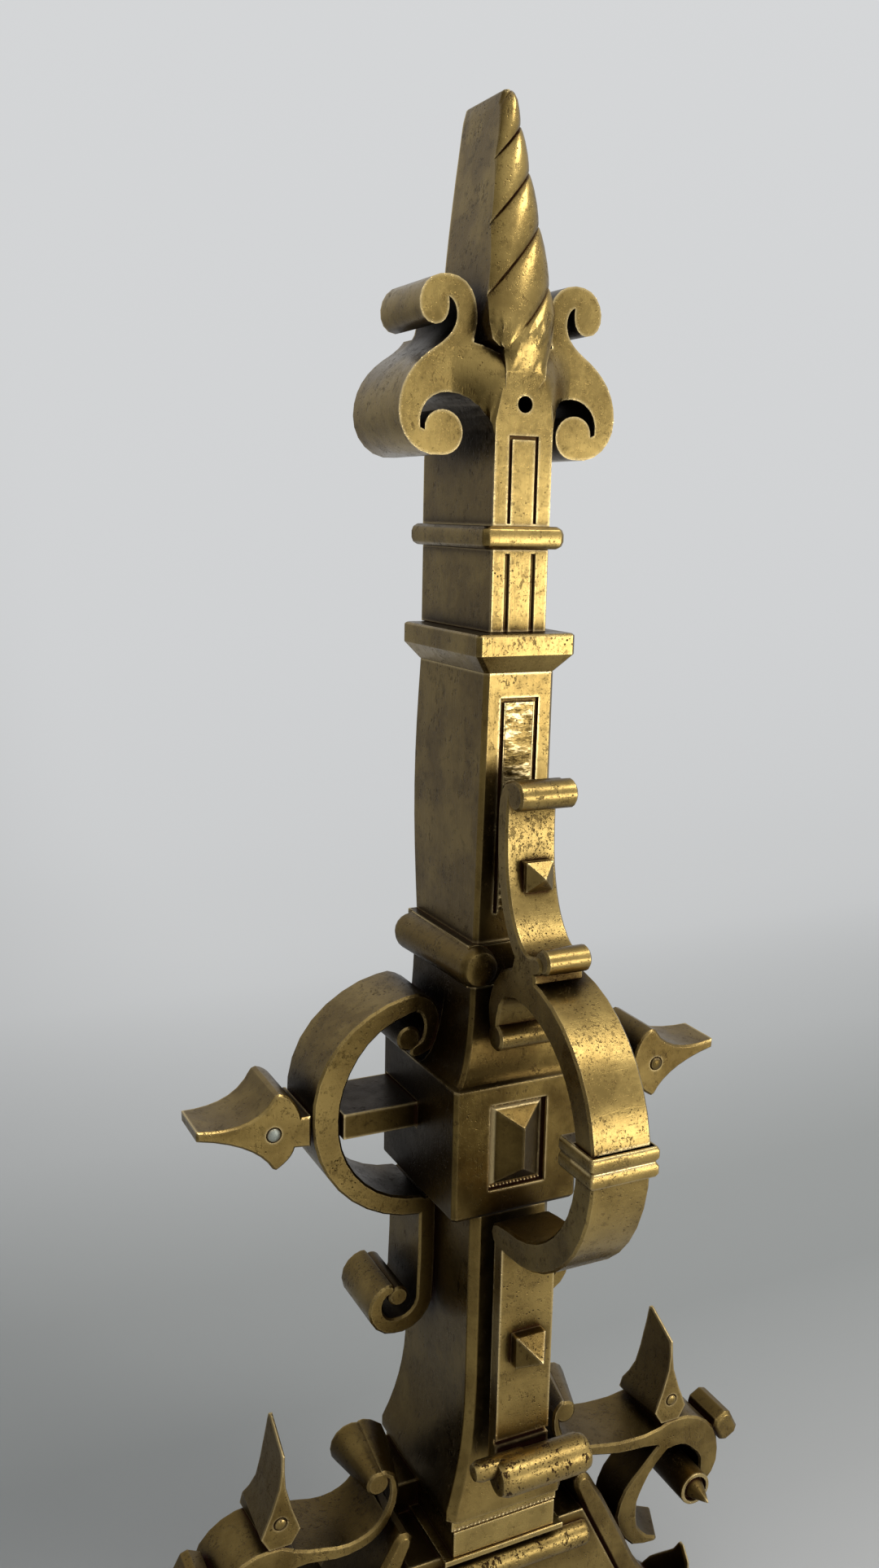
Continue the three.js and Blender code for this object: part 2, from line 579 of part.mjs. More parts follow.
// Block whose front is the modelled face of the finial: proud along the stem, falling away to the scrolls.
function finialFace() {
  const levels = [
    { height: -2, near: 12.6, far: 18, rise: 1 }, { height: 38, near: 12.6, far: 18, rise: 1 },
    { height: 50, near: 10, far: 26, rise: 1 }, { height: 58, near: 8, far: 27, rise: 0.95 },
    { height: 64, near: 6, far: 26, rise: 0.6 }, { height: 69, near: 5, far: 22, rise: 0.25 },
    { height: 73, near: 5, far: 20, rise: 0 }, { height: 104, near: 5, far: 20, rise: 0 },
  ];
  const shares = [0, 0.25, 0.5, 0.75, 1];
  const span = 2 * RING.outer;
  return loft(levels.map(({ height, near, far, rise }) => {
    const right = shares.map((share) => ({
      x: near + (far - near) * share,
      y: FINIAL.front + (NECK.front - FINIAL.front) * rise * (1 - THREE.MathUtils.smoothstep(share, 0, 1)),
    }));
    const left = right.map(({ x, y }) => ({ x: -x, y })).reverse();
    const front = [{ x: -span, y: FINIAL.front }, ...left, ...right, { x: span, y: FINIAL.front }];
    const back = [{ x: span, y: span }, { x: -span, y: span }];
    return [...front, ...back].map(({ x, y }) => new THREE.Vector3(x, y, FINIAL_Z + height));
  }));
}

// The horn: flat sides and a swelling front of slanting gadroons, whose valleys lie along the rows of points.
function horn() {
  const h = HORN;
  const valley = (turns) => GADROON.first + GADROON.pitch * turns - GADROON.tighten * turns * (turns - 1);
  const opening = (share) => Math.sin((Math.PI / 2) * THREE.MathUtils.clamp(share / h.close, 0, 1));
  const crown = (share) => {
    const over = THREE.MathUtils.clamp((share - h.crown) / (1 - h.crown), 0, 1);
    return h.round * (1 - Math.sqrt(1 - 0.9 * over * over));
  };
  const halfAt = (share) => {
    const narrowing = Math.max(0, (share - h.shoulder) / (1 - h.shoulder)) ** 1.3;
    const full = h.half * (h.foot + (1 - h.foot) * opening(share));
    return full - (h.half - h.topHalf) * narrowing - crown(share) / 2;
  };
  const frontSteps = 10;
  const spread = THREE.MathUtils.degToRad(70);
  const row = (height, rope) => {
    const place = (side) => {
      let x = side * halfAt(height / HORN_HEIGHT);
      x = side * halfAt((height + GADROON.climb * x) / HORN_HEIGHT);
      return [x, (height + GADROON.climb * x) / HORN_HEIGHT];
    };
    const front = Array.from({ length: frontSteps + 1 }, (_, k) => {
      const turn = spread * ((2 * k) / frontSteps - 1);
      const [x, share] = place(Math.sin(turn) / Math.sin(spread));
      const bulge = (h.bulge + (h.topBulge - h.bulge) * share) * opening(share);
      const round = (Math.cos(turn) - Math.cos(spread)) / (1 - Math.cos(spread));
      const groove = GADROON.depth * (1 - rope) * opening(share);
      const y = h.edge + h.lean * share - bulge * round + groove + crown(share);
      return new THREE.Vector3(x, y, HORN_Z + HORN_HEIGHT * share);
    });
    const back = [1, -1].map((side) => {
      const [x, share] = place(side);
      const y = h.backFoot + (h.backTop - h.backFoot) * share - crown(share);
      return new THREE.Vector3(x, y, HORN_Z + HORN_HEIGHT * share);
    });
    return [...front, ...back];
  };
  const rows = [];
  for (let turn = -1; turn < GADROON.count; turn += 1) {
    for (const phase of [0, 0.05, 0.16, 0.36, 0.64, 0.84, 0.95]) {
      rows.push(row(valley(turn + phase), Math.sin(Math.PI * phase) ** 0.5));
    }
  }
  rows.push(row(valley(GADROON.count), 0), row(valley(GADROON.count + 0.2), 0.8));
  const over = box(-h.half, h.half, -RING.outer, RING.outer, HORN_Z + HORN_HEIGHT, HORN_Z + 2 * HORN_HEIGHT);
  return cut(loft(rows), over);
}

// ---------------------------------------------------------------- rings, bar and arrowheads

const BAR_TOP = AXIS_Z - BAR.drop + BAR.height / 2;
const RIVET_SHANK = ARROW_RIVET.radius - 0.9;
const RIVET_X = ARROW_X + ARROW_RIVET.reach;
const RIVET_Z = AXIS_Z + ARROW_RIVET.lift;
const TENON_REACH = RIVET_X + BAR.tenonEnd;
const BAR_HALF = RING.x - GAP + Math.sqrt((RING.outer - RING.side) ** 2 - (BAR.drop + BAR.height / 2) ** 2);

function barMortise(reach) {
  return box(-reach, reach, BAR.front - GAP, BAR.back + GAP, BAR_TOP - BAR.height - GAP, BAR_TOP + GAP);
}

function tenonMortise(low, high) {
  return box(low, high, BAR.tenonFront - GAP, BAR.tenonBack + GAP, BAR_TOP - BAR.tenonHeight - GAP,
    BAR_TOP + GAP);
}

// Right-hand side ring; the left one is its mirror image.
function sideRing() {
  const r = RING;
  const z = (height) => AXIS_Z + height;
  const thin = r.outer - r.thin / 2;
  const wide = r.outer - r.side / 2;
  const curl = spline([
    at(30, z(25)), at(24.6, z(28)), at(22.6, z(36)), at(24.8, z(thin - 3)), at(r.x + 4, z(thin)),
  ], 10);
  const line = [
    ...curl, ...arc(r.x, AXIS_Z, thin, wide, 80, 0, 8), ...arc(r.x, AXIS_Z, wide, thin, 0, -89, 9).slice(1),
  ];
  const ring = strap(line, taper([
    [0, 3], [0.05, 3.6], [0.16, 4], [0.24, r.thin / 2], [0.46, r.side / 2], [0.9, r.thin / 2], [1, r.thin / 2],
  ]));
  const tailX = LOWER_SHAFT.half + GAP + r.tailHalf;
  const [scrollX, scrollZ] = [r.footScrollX, z(-r.footScrollDrop)];
  const reach = r.footScroll - r.tailHalf;
  const tail = [
    at(tailX, z(-thin)), at(tailX, z(-60)), at(tailX, z(-r.tailDrop + 8)),
    ...arc(scrollX, scrollZ, scrollX - tailX, reach, 165, 270, 6),
    ...arc(scrollX, scrollZ, reach, 7.4, 287, 430, 7),
  ];
  const tailShape = strap(tail, taper([[0, r.tailHalf], [0.6, r.tailHalf], [0.86, 3.4], [1, 2.4]]));
  const eyes = [eyeShape(r.eyeX, z(r.eyeZ), r.eye), eyeShape(scrollX - 1.5, scrollZ + 3, 4.6)];
  const shapes = [ring, tailShape, ...eyes];
  const body = join(...shapes.map((shape) => alongY(shape, r.front, r.back, EDGE)));
  return cut(body, tenonMortise(BAR_HALF, ARROW_X));
}

// Bar through the block; a thinner tenon at each end goes through the ring and carries an arrowhead.
function crossBar() {
  const bar = box(-BAR_HALF, BAR_HALF, BAR.front, BAR.back, BAR_TOP - BAR.height, BAR_TOP);
  const tenon = box(-TENON_REACH, TENON_REACH, BAR.tenonFront, BAR.tenonBack, BAR_TOP - BAR.tenonHeight,
    BAR_TOP);
  const holes = [-1, 1].map((side) => roundBar("y", [side * RIVET_X, 0, RIVET_Z], RIVET_SHANK + GAP,
    BAR.tenonFront - 1, BAR.tenonBack + 1, 0, 16));
  return cut(join(bar, tenon), ...holes);
}

// Barbed arrowhead with hollow sides and a socket for the bar's tenon; its back falls away to the tip.
function arrowhead() {
  const a = ARROW;
  const x = (reach) => ARROW_X + reach;
  const z = (height) => AXIS_Z + height;
  const shape = new THREE.Shape();
  shape.moveTo(x(0), z(a.neckBottom));
  shape.lineTo(x(a.lowerThroat), z(a.neckBottom + 0.8));
  shape.quadraticCurveTo(x(a.barb - 6.4), z(a.barbBottom + 3.6), x(a.barb + 0.5), z(a.barbBottom));
  shape.lineTo(x(a.barb + 2), z(a.barbBottom + 0.8));
  shape.bezierCurveTo(x(20.7), z(-8.8), x(30.7), z(-2), x(a.length - 0.2), z(a.tipBottom));
  shape.lineTo(x(a.length), z(a.tipTop));
  shape.bezierCurveTo(x(34.7), z(3.6), x(21.7), z(4.5), x(a.barb + 1), z(a.barbTop - 0.6));
  shape.lineTo(x(a.barb - 0.9), z(a.barbTop));
  shape.quadraticCurveTo(x(a.barb - 7.9), z(a.barbTop - 1.6), x(a.throat), z(a.neckTop));
  shape.lineTo(x(0), z(a.neckTop));
  const socket = tenonMortise(ARROW_X - 1, TENON_REACH + GAP);
  const place = [RIVET_X, 0, RIVET_Z];
  const hole = roundBar("y", place, RIVET_SHANK + GAP, a.front - 1, BAR.tenonBack + 3, 0, 16);
  const counterbore = roundBar("y", place, ARROW_RIVET.radius + GAP, a.front - 1,
    a.front + ARROW_RIVET.seat, 0, 20);
  const fall = new THREE.Shape([
    at(x(a.barb), a.back), at(x(a.length), a.tipBack), at(x(a.length + 1), a.tipBack),
    at(x(a.length + 1), a.back + 1), at(x(a.barb), a.back + 1),
  ]);
  const height = 2 * (a.barbTop - a.barbBottom);
  const slope = new THREE.ExtrudeGeometry(fall, { depth: height, bevelEnabled: false })
    .translate(0, 0, AXIS_Z - height / 2);
  return cut(alongY(shape, a.front, a.back, EDGE), socket, hole, counterbore, slope);
}

function arrowRivet() {
  const back = BAR.tenonBack + 2.6;
  const shank = roundBar("y", [RIVET_X, 0, RIVET_Z], RIVET_SHANK, ARROW.front + 1, back, 0, 16);
  const headBack = ARROW.front + ARROW_RIVET.seat - GAP;
  const head = domedPin(RIVET_X, RIVET_Z, ARROW_RIVET.radius, ARROW.front, headBack, ARROW_RIVET.head);
  return join(shank, head);
}

// ---------------------------------------------------------------- front strap

// Bore for a stud's shank, from in front of the stud to a grip's length behind the casting's face.
function studHole(stud, face) {
  const low = stud.seat - stud.block;
  const high = face + STUD_SHANK.grip + GAP;
  return roundBar("y", [0, 0, AXIS_Z + stud.height], STUD_SHANK.radius + GAP, low, high, 0, 16);
}

function frontStrap() {
  const f = FRONT_RING;
  const z = (height) => AXIS_Z + height;
  const upper = strap(spline([
    at(-53.5, z(146.2)), at(-49, z(144.4)), at(-46.6, z(138)), at(-46.4, z(126)), at(-47.4, z(113)),
    at(-50.4, z(101)), at(-54.8, z(91.5)), at(-61.6, z(83)), at(-69, z(79.8)), at(-76, z(81.6)),
  ], 20), taper([[0, 2.6], [0.1, 3.6], [0.7, 3.7], [0.88, 4.2], [1, 3.6]]));
  const volute = spline([
    at(-44.2, z(44.4)), at(-43, z(50)), at(-44.6, z(58)), at(-50.6, z(66)), at(f.y, z(f.z + f.top)),
  ], 8);
  const over = arc(f.y, z(f.z), f.top, f.front, 90, 180, 10).slice(1);
  const under = arc(f.y, z(f.z), f.front, f.bottom, 180, 270, 10).slice(1);
  const ring = strap([...volute, ...over, ...under, at(-52.5, z(-41.4))],
    taper([[0, 3], [0.05, 4.4], [0.16, f.topHalf], [0.55, f.frontHalf], [0.95, f.frontHalf], [1, f.endHalf]]));
  const eyes = [eyeShape(-55.5, z(143), 5.8), eyeShape(-45.4, z(42), 5.6)];
  const web = new THREE.Shape([at(-56, z(71)), at(-59.5, z(82)), at(-73.5, z(81)), at(-75.5, z(71.5))]);
  const straps = [ring, ...eyes].map((shape) => alongX(shape, -STRAP.half, STRAP.half, EDGE));
  straps.push(...[upper, web].map((shape) => alongX(shape, -STRAP.half, STRAP.upperHigh, EDGE)));
  straps.push(alongX(eyeShape(-78.8, z(83.8), 5.1), STRAP.eyeLow, STRAP.eyeHigh, EDGE));
  const tail = box(-STRAP.half, STRAP.half, STRAP.tailFront, STRAP.tailFront + STRAP.tailThick,
    z(-STRAP.tailDrop), z(-42));
  const boss = (stud, face) => box(
    -STRAP.bossHalf, STRAP.bossHalf, stud.bossFront, face - GAP,
    z(stud.height) - STRAP.bossHalf, z(stud.height) + STRAP.bossHalf);
  const pad = box(-UPPER_STUD.half, UPPER_STUD.half, UPPER_STUD.seat, UPPER_STUD.bossFront,
    z(UPPER_STUD.height) - UPPER_STUD.half, z(UPPER_STUD.height) + UPPER_STUD.half);
  const upperFace = upperFrontAt(z(UPPER_STUD.height + STRAP.bossHalf));
  const bosses = [boss(UPPER_STUD, upperFace), boss(LOWER_STUD, LOWER_SHAFT.front)];
  const holes = [studHole(UPPER_STUD, UPPER_SHAFT.front), studHole(LOWER_STUD, LOWER_SHAFT.front)];
  const slotLow = rollLevel() + FOOT_ROLL.radius - TAIL_SLOT.lap;
  const slot = box(-STRAP.half - 1, STRAP.half + 1, STRAP.tailFront - 1, STRAP.tailFront + TAIL_SLOT.depth,
    slotLow, slotLow + TAIL_SLOT.height);
  return cut(join(...straps, tail, ...bosses, pad), slot, ...holes);
}

// Square-headed bolt with a pyramid on its head.
function stud(size, face) {
  const z = AXIS_Z + size.height;
  const section = (half, y) => [
    [-half, z - half], [half, z - half], [half, z + half], [-half, z + half],
  ].map(([x, zz]) => new THREE.Vector3(x, y, zz));
  const front = size.seat - size.block;
  const head = loft([
    section(size.half, size.seat), section(size.half, front), section(POINT, front - size.peak),
  ]);
  const shank = roundBar("y", [0, 0, z], STUD_SHANK.radius, front + 1, face + STUD_SHANK.grip, 0, 16);
  return join(head, shank);
}

// Band round the front ring with two rounded ridges.
function ringClip() {
  const f = FRONT_RING;
  const low = AXIS_Z + CLIP.bottom;
  const front = f.y - f.front - f.frontHalf;
  const inner = front + 2 * f.frontHalf;
  const half = STRAP.half + CLIP.wall + GAP;
  const profile = [
    [0, CLIP.ease], [0.12, 0], [0.36, 0], [0.5, CLIP.groove], [0.64, 0], [0.88, 0], [1, CLIP.ease],
  ];
  const face = front - CLIP.wall - GAP;
  const outside = loft(profile.map(([share, inset]) =>
    octagon(half - inset, face + inset, inner + CLIP.tongue, 0.6, low + CLIP.height * share)));
  const seat = box(-STRAP.half - GAP, STRAP.half + GAP, front - GAP, inner + 1, low - 1, low + CLIP.height + 1);
  return cut(outside, seat);
}

function rollLevel() {
  return AXIS_Z - STRAP.tailDrop + FOOT_ROLL.rise;
}

// Roll under the end of the front strap; its left end is notched below and drawn out into a lip above.
function footRoll() {
  const [y, z] = [STRAP.tailFront - GAP - FOOT_ROLL.radius, rollLevel()];
  const body = roundBar("x", [0, y, z], FOOT_ROLL.radius, FOOT_ROLL.notch - FOOT_ROLL.half, FOOT_ROLL.half,
    FOOT_ROLL.round, 28);
  const nose = roundBar("x", [0, y + ROLL_NOSE.set, z + ROLL_NOSE.lift], ROLL_NOSE.radius, -FOOT_ROLL.half, 0,
    ROLL_NOSE.round, 20);
  return join(body, nose);
}

// ---------------------------------------------------------------- base mouldings

function moulding(size, low, high) {
  return cut(box(-size.half, size.half, size.front, BASE.step, low, high), rodBore(low - 1, high + 1));
}

const plinth = () => moulding(PLINTH, PLINTH_Z, BEAD_Z);
const fillet = () => moulding(FILLET, FILLET_Z, PLINTH_Z);

function torus() {
  const z = FILLET_Z - TORUS.drop;
  const roll = roundBar("x", [0, BASE.front, z], TORUS.radius, -TORUS.half, TORUS.half, 2.5, 24);
  const back = box(-TORUS.half - 1, TORUS.half + 1, BASE.front, BASE.front + 20, z - 20, z + 20);
  return cut(roll, back);
}

// ---------------------------------------------------------------- legs

// Right-hand leg: a strap that starts beside the plinth, hugs the base and flattens out to a toe.
function leg() {
  const clear = (LEG.half + GAP) / Math.cos(Math.atan(BASE.spread));
  const side = (height) => baseHalfAt(height) + clear;
  const sole = LEG.half + 0.6;
  const line = spline([
    ...[LEG.rise, 40, 20, 4].map((height) => at(side(height), BASE_Z + height)),
    at(88, 33), at(LEG.footX - LEG.toe, 16), at(LEG.footX, sole), at(LEG.footX + LEG.toe, sole),
  ], 20);
  const shape = strap(line, taper([[0, LEG.half - 1], [0.12, LEG.half], [0.85, LEG.half], [1, LEG.half - 1]]));
  const under = box(LEG.footX - 40, LEG.footX + 40, LEG.front - 5, LEG.back + 5, -30, 0);
  const pad = box(LEG.footX - LEG.toe, LEG.footX + LEG.toe, LEG.front + 2, LEG.back - 2, 0, 4);
  return cut(join(alongY(shape, LEG.front, LEG.back, 2), pad, thorn(SPUR, SPUR.sole)), under);
}

// Bends a bar or scroll that runs along Y: the push is the offset, in X and Z, of its points at the end.
function flared(geometry, start, end, push) {
  const point = geometry.attributes.position;
  for (let i = 0; i < point.count; i += 1) {
    const depth = (point.getY(i) - start) / (end - start);
    const offset = push(at(point.getX(i), point.getZ(i))).multiplyScalar(depth);
    point.setXYZ(i, point.getX(i) + offset.x, point.getY(i), point.getZ(i) + offset.y);
  }
  return geometry;
}

// Widening away from a root, full near a heart and gone beyond a reach or below a floor.
function widened({ heart, root, reach, floor, grow }) {
  return (place) => {
    const near = 1 - THREE.MathUtils.smoothstep(place.distanceTo(heart), reach / 2, reach);
    const high = THREE.MathUtils.smoothstep(place.y, floor, floor + reach / 2);
    return place.clone().sub(root).multiplyScalar(grow * near * high);
  };
}

// Swing of a volute to a new centre; the widening fades out just below it, the swing lower down.
function swung({ heart, shift, hold, fall }) {
  return (place) => {
    const grow = THREE.MathUtils.smoothstep(place.y, heart.y - hold, heart.y + hold / 2);
    const swing = THREE.MathUtils.smoothstep(place.y, heart.y - fall, heart.y);
    return place.clone().sub(heart).multiplyScalar(grow).addScaledVector(shift, swing);
  };
}

// Bracket of the right side: volute, arm, node, C-curl, brace and lower scroll in one casting.
function bracket({ eye: [eyeX, eyeDrop], arm, push }) {
  const b = BRACKET;
  const z = (drop) => BRACKET_Z - drop;
  const band = strap(spline(arm.map(([x, drop]) => at(x, z(drop))), 16),
    taper([[0, 1.6], [0.2, 2.1], [0.5, 2.7], [0.85, 3.3], [1, 5.4]]));
  const curl = strap(spline([
    at(98, z(184.4)), at(106, z(184.2)), at(113.4, z(187)), at(119.6, z(193)),
    at(123, z(201)), at(122.6, z(209)), at(119, z(215)), at(113.6, z(216)),
  ], 12), taper([[0, 7.6], [0.4, 7.6], [0.65, 5.6], [1, 3]]));
  const brace = strap(spline([
    at(98, z(188)), at(91, z(194.3)), at(84.2, z(202)), at(78.6, z(210)), at(76, z(219)), at(78, z(229)),
    at(84, z(236.6)), at(93, z(239.6)),
  ], 12), taper([[0, 3.2], [0.2, 3.2], [0.45, 5.2], [0.6, 6], [0.8, 4], [1, 1.3]]));
  const lip = widened({ heart: at(93, z(238)), root: at(74, z(236)), reach: 18, floor: z(260), grow: 0.5 });
  const upper = [band, eyeShape(eyeX, z(eyeDrop), 5.2)].map((shape) =>
    flared(alongY(shape, b.front, b.back, EDGE), b.front, b.back, push));
  const lower = flared(alongY(brace, b.front, b.braceBack, EDGE), b.front, b.braceBack, lip);
  const place = [EYE.x, 0, z(EYE.drop)];
  const boss = roundBar("y", place, EYE.radius, EYE.front, b.back - 1, 0.8, 24);
  const recess = roundBar("y", place, EYE.radius - 1.8, EYE.front - 1, EYE.front + EYE.recess, 0, 24);
  const bore = roundBar("y", place, EYE.shank + GAP, EYE.front, EYE.front + 16, 0, 16);
  return cut(join(...upper, alongY(curl, b.front, b.curlBack, EDGE), lower, boss), recess, bore);
}

// The two brackets differ in their inner volutes: the right one is swung inwards and up at the front.
function rightBracket() {
  return bracket({
    eye: [39, 154],
    arm: [
      [37.4, 149.8], [34.6, 153], [34.6, 161], [38.4, 170.4], [46, 176.8], [56, 179.2], [70, 182.4],
      [84, 183.4], [97, 183.6],
    ],
    push: swung({ heart: at(39, BRACKET_Z - 154), shift: at(9.5, -8), hold: 10, fall: 28 }),
  });
}

function leftBracket() {
  return mirrored(bracket({
    eye: [54, 161],
    arm: [
      [51.6, 157.2], [47.6, 160], [46.6, 170], [51.2, 180.4], [58.5, 186.4], [70, 188.6],
      [84, 186], [97, 184],
    ],
    push: widened({
      heart: at(55, BRACKET_Z - 161), root: at(54.5, BRACKET_Z - 158.8),
      reach: 24, floor: BRACKET_Z - 176, grow: 1,
    }),
  }));
}

function eyePin() {
  const front = EYE.front + EYE.recess - GAP;
  const profile = [
    at(0, EYE.front + 14), at(EYE.shank, EYE.front + 14), at(EYE.shank, front + 0.02), at(EYE.pinBase, front),
    at(EYE.pinBase - 0.6, front - 2), at(0.4, front - EYE.pinLength), at(0, front - EYE.pinLength),
  ];
  return new THREE.LatheGeometry(profile, 20).translate(EYE.x, 0, BRACKET_Z - EYE.drop);
}

// Thorn that stands on the strapwork: a kite-shaped face in front, hollow sides and a tip that leans back.
function thorn(size, sole) {
  return loft(THORN.map((level, i) => {
    const x = size.x - size.lean * level.at;
    const [face, heel] = [level.face * size.width, level.heel * size.width];
    const setBack = level.at === 1 ? size.tip : 0;
    const [front, back] = [size.front + size.depth * setBack, size.front + size.depth * size.reach[i]];
    const corners = [[-face, front], [face, front], [heel, back], [-heel, back]];
    return corners.map(([across, y]) => new THREE.Vector3(x + across, y, sole + size.rise * level.at));
  }));
}

function fin() {
  const r = FIN_RIVET;
  const place = [r.x, 0, BRACKET_Z - r.drop];
  const hole = roundBar("y", place, r.radius + GAP, FIN.front - 1, FIN.front + r.depth + GAP, 0, 20);
  return cut(thorn(FIN, BRACKET_Z - FIN.drop), hole);
}

function finRivet() {
  const r = FIN_RIVET;
  return domedPin(r.x, BRACKET_Z - r.drop, r.radius, FIN.front, FIN.front + r.depth, r.head);
}

// Chamfered lug on the back of the curl.
function lug() {
  const [h, w, c] = [LUG.half, LUG.width, LUG.chamfer];
  const outline = [
    [-h, -w + c], [-h + c, -w], [h - c, -w], [h, -w + c], [h, w - c], [h - c, w], [-h + c, w], [-h, w - c],
  ];
  const shape = new THREE.Shape(outline.map(([along, across]) => at(across, along)));
  return alongY(shape, LUG.front, LUG.back, 1.5)
    .applyMatrix4(new THREE.Matrix4().makeRotationY(THREE.MathUtils.degToRad(-28)))
    .translate(LUG.x, 0, BRACKET_Z - LUG.drop);
}

// ---------------------------------------------------------------- fasteners of the stack

function tieRod() {
  const foot = BASE_Z + BASE.archRise - ROD.below;
  return roundBar("z", [0, ROD.y, 0], ROD.radius, foot, FINIAL_Z + ROD.engaged, 0, 16);
}

const SEAT_Z = BASE_Z + BASE.archRise + 1;

function washer() {
  const disc = roundBar("z", [0, ROD.y, 0], WASHER.radius, SEAT_Z - GAP - WASHER.height, SEAT_Z - GAP, 0, 24);
  return cut(disc, rodBore(SEAT_Z - 10, SEAT_Z + 1));
}

function nut() {
  const top = SEAT_Z - 2 * GAP - WASHER.height;
  const corner = NUT.across / Math.sqrt(3);
  const shape = new THREE.Shape(arc(0, ROD.y, corner, corner, 0, 300, 5));
  const hexagon = new THREE.ExtrudeGeometry(shape, { depth: NUT.height, bevelEnabled: false })
    .translate(0, 0, top - NUT.height);
  return cut(hexagon, rodBore(top - NUT.height - 1, top + 1));
}

// ---------------------------------------------------------------- assembly

const andiron = new THREE.Group();

function add(name, geometry, material) {
  const surface = closed(geometry);
  surface.computeVertexNormals();
  const mesh = new THREE.Mesh(surface, material);
  mesh.name = name;
  andiron.add(mesh);
}

// Adds a right-hand piece and its mirror image.
function addPair(name, geometry, material) {
  add(`${name}_right`, geometry, material);
  add(`${name}_left`, mirrored(geometry), material);
}

add("base_body", baseBody(), FINISH.aged);
add("bead_slab", beadSlab(), FINISH.aged);
add("plinth_band", plinth(), FINISH.polished);
add("plinth_fillet", fillet(), FINISH.polished);
add("base_torus", torus(), FINISH.polished);
add("lower_shaft", lowerShaft(), FINISH.aged);
add("centre_block", centreBlock(), FINISH.aged);
add("jewel", jewel(), FINISH.polished);
add("cushion_moulding", cushion(), FINISH.aged);
add("upper_shaft", upperShaft(), FINISH.polished);
add("lower_collar", lowerCollar(), FINISH.polished);
add("neck", neck(), FINISH.polished);
add("upper_collar", upperCollar(), FINISH.polished);
add("finial", finial(), FINISH.polished);
add("front_strap", frontStrap(), FINISH.polished);
add("ring_clip", ringClip(), FINISH.polished);
add("stud_upper", stud(UPPER_STUD, UPPER_SHAFT.front), FINISH.aged);
add("stud_lower", stud(LOWER_STUD, LOWER_SHAFT.front), FINISH.aged);
add("foot_roll", footRoll(), FINISH.polished);
add("cross_bar", crossBar(), FINISH.shadowed);
add("tie_rod", tieRod(), FINISH.iron);
add("tie_rod_washer", washer(), FINISH.iron);
add("tie_rod_nut", nut(), FINISH.iron);
addPair("side_ring", sideRing(), FINISH.aged);
addPair("arrowhead", arrowhead(), FINISH.aged);
addPair("arrow_rivet", arrowRivet(), FINISH.pin);
addPair("leg", leg(), FINISH.aged);
add("bracket_right", rightBracket(), FINISH.shadowed);
add("bracket_left", leftBracket(), FINISH.shadowed);
addPair("fin", fin(), FINISH.shadowed);
addPair("fin_rivet", finRivet(), FINISH.aged);
addPair("eye_pin", eyePin(), FINISH.shadowed);
addPair("lug", lug(), FINISH.shadowed);

// The origin is on the floor, under the middle of the whole object.
const bounds = new THREE.Box3().setFromObject(andiron);
andiron.position.set(0, -(bounds.min.y + bounds.max.y) / 2, -bounds.min.z);

export default andiron;
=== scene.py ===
"""Dresses the strapwork andiron: rounded castings, aged brass, studio, light and camera.

Metres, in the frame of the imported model: X to the right, Y to the back, Z up.
"""

import json
import logging
import math
from dataclasses import dataclass, field
from enum import Enum
from typing import Any, Iterable, Sequence, Union

import bmesh
import bpy
from mathutils import Matrix, Vector

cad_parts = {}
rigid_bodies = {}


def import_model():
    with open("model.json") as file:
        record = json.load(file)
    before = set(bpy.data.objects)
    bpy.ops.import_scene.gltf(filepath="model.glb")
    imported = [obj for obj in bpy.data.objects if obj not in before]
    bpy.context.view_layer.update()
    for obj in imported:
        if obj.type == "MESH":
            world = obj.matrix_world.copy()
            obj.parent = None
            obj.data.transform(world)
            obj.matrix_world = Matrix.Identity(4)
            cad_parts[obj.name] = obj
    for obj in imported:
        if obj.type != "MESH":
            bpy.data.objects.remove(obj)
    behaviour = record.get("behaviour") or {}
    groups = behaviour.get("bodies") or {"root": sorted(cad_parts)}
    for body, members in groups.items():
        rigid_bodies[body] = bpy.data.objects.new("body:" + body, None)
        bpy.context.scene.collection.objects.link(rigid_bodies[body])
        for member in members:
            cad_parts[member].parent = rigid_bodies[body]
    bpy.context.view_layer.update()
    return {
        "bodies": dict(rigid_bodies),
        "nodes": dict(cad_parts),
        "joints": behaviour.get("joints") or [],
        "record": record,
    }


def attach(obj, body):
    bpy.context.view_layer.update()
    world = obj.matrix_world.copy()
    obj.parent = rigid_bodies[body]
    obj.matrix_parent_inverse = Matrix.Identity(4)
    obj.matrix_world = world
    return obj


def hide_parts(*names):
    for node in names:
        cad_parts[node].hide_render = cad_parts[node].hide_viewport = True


LOG = logging.getLogger("andiron")
MM = 0.001

Colour = tuple[float, float, float]
Point = tuple[float, float, float]


# ---------------------------------------------------------------- shader expressions


class Pattern(Enum):
    """Noise patterns: cells per metre, detail and roughness."""

    CLOUD = (38.0, 4.0, 0.6)
    PATCH = (70.0, 2.0, 0.55)
    REGION = (85.0, 1.0, 0.55)
    MOTTLE = (230.0, 3.0, 0.6)
    POCK = (520.0, 2.5, 0.75)
    STROKE = (520.0, 2.0, 0.6)
    SCRATCH = (700.0, 2.0, 0.5)
    GATE = (900.0, 0.0, 0.55)
    SPECKLE = (1250.0, 1.0, 0.6)
    MARKS = (1500.0, 3.0, 0.62)


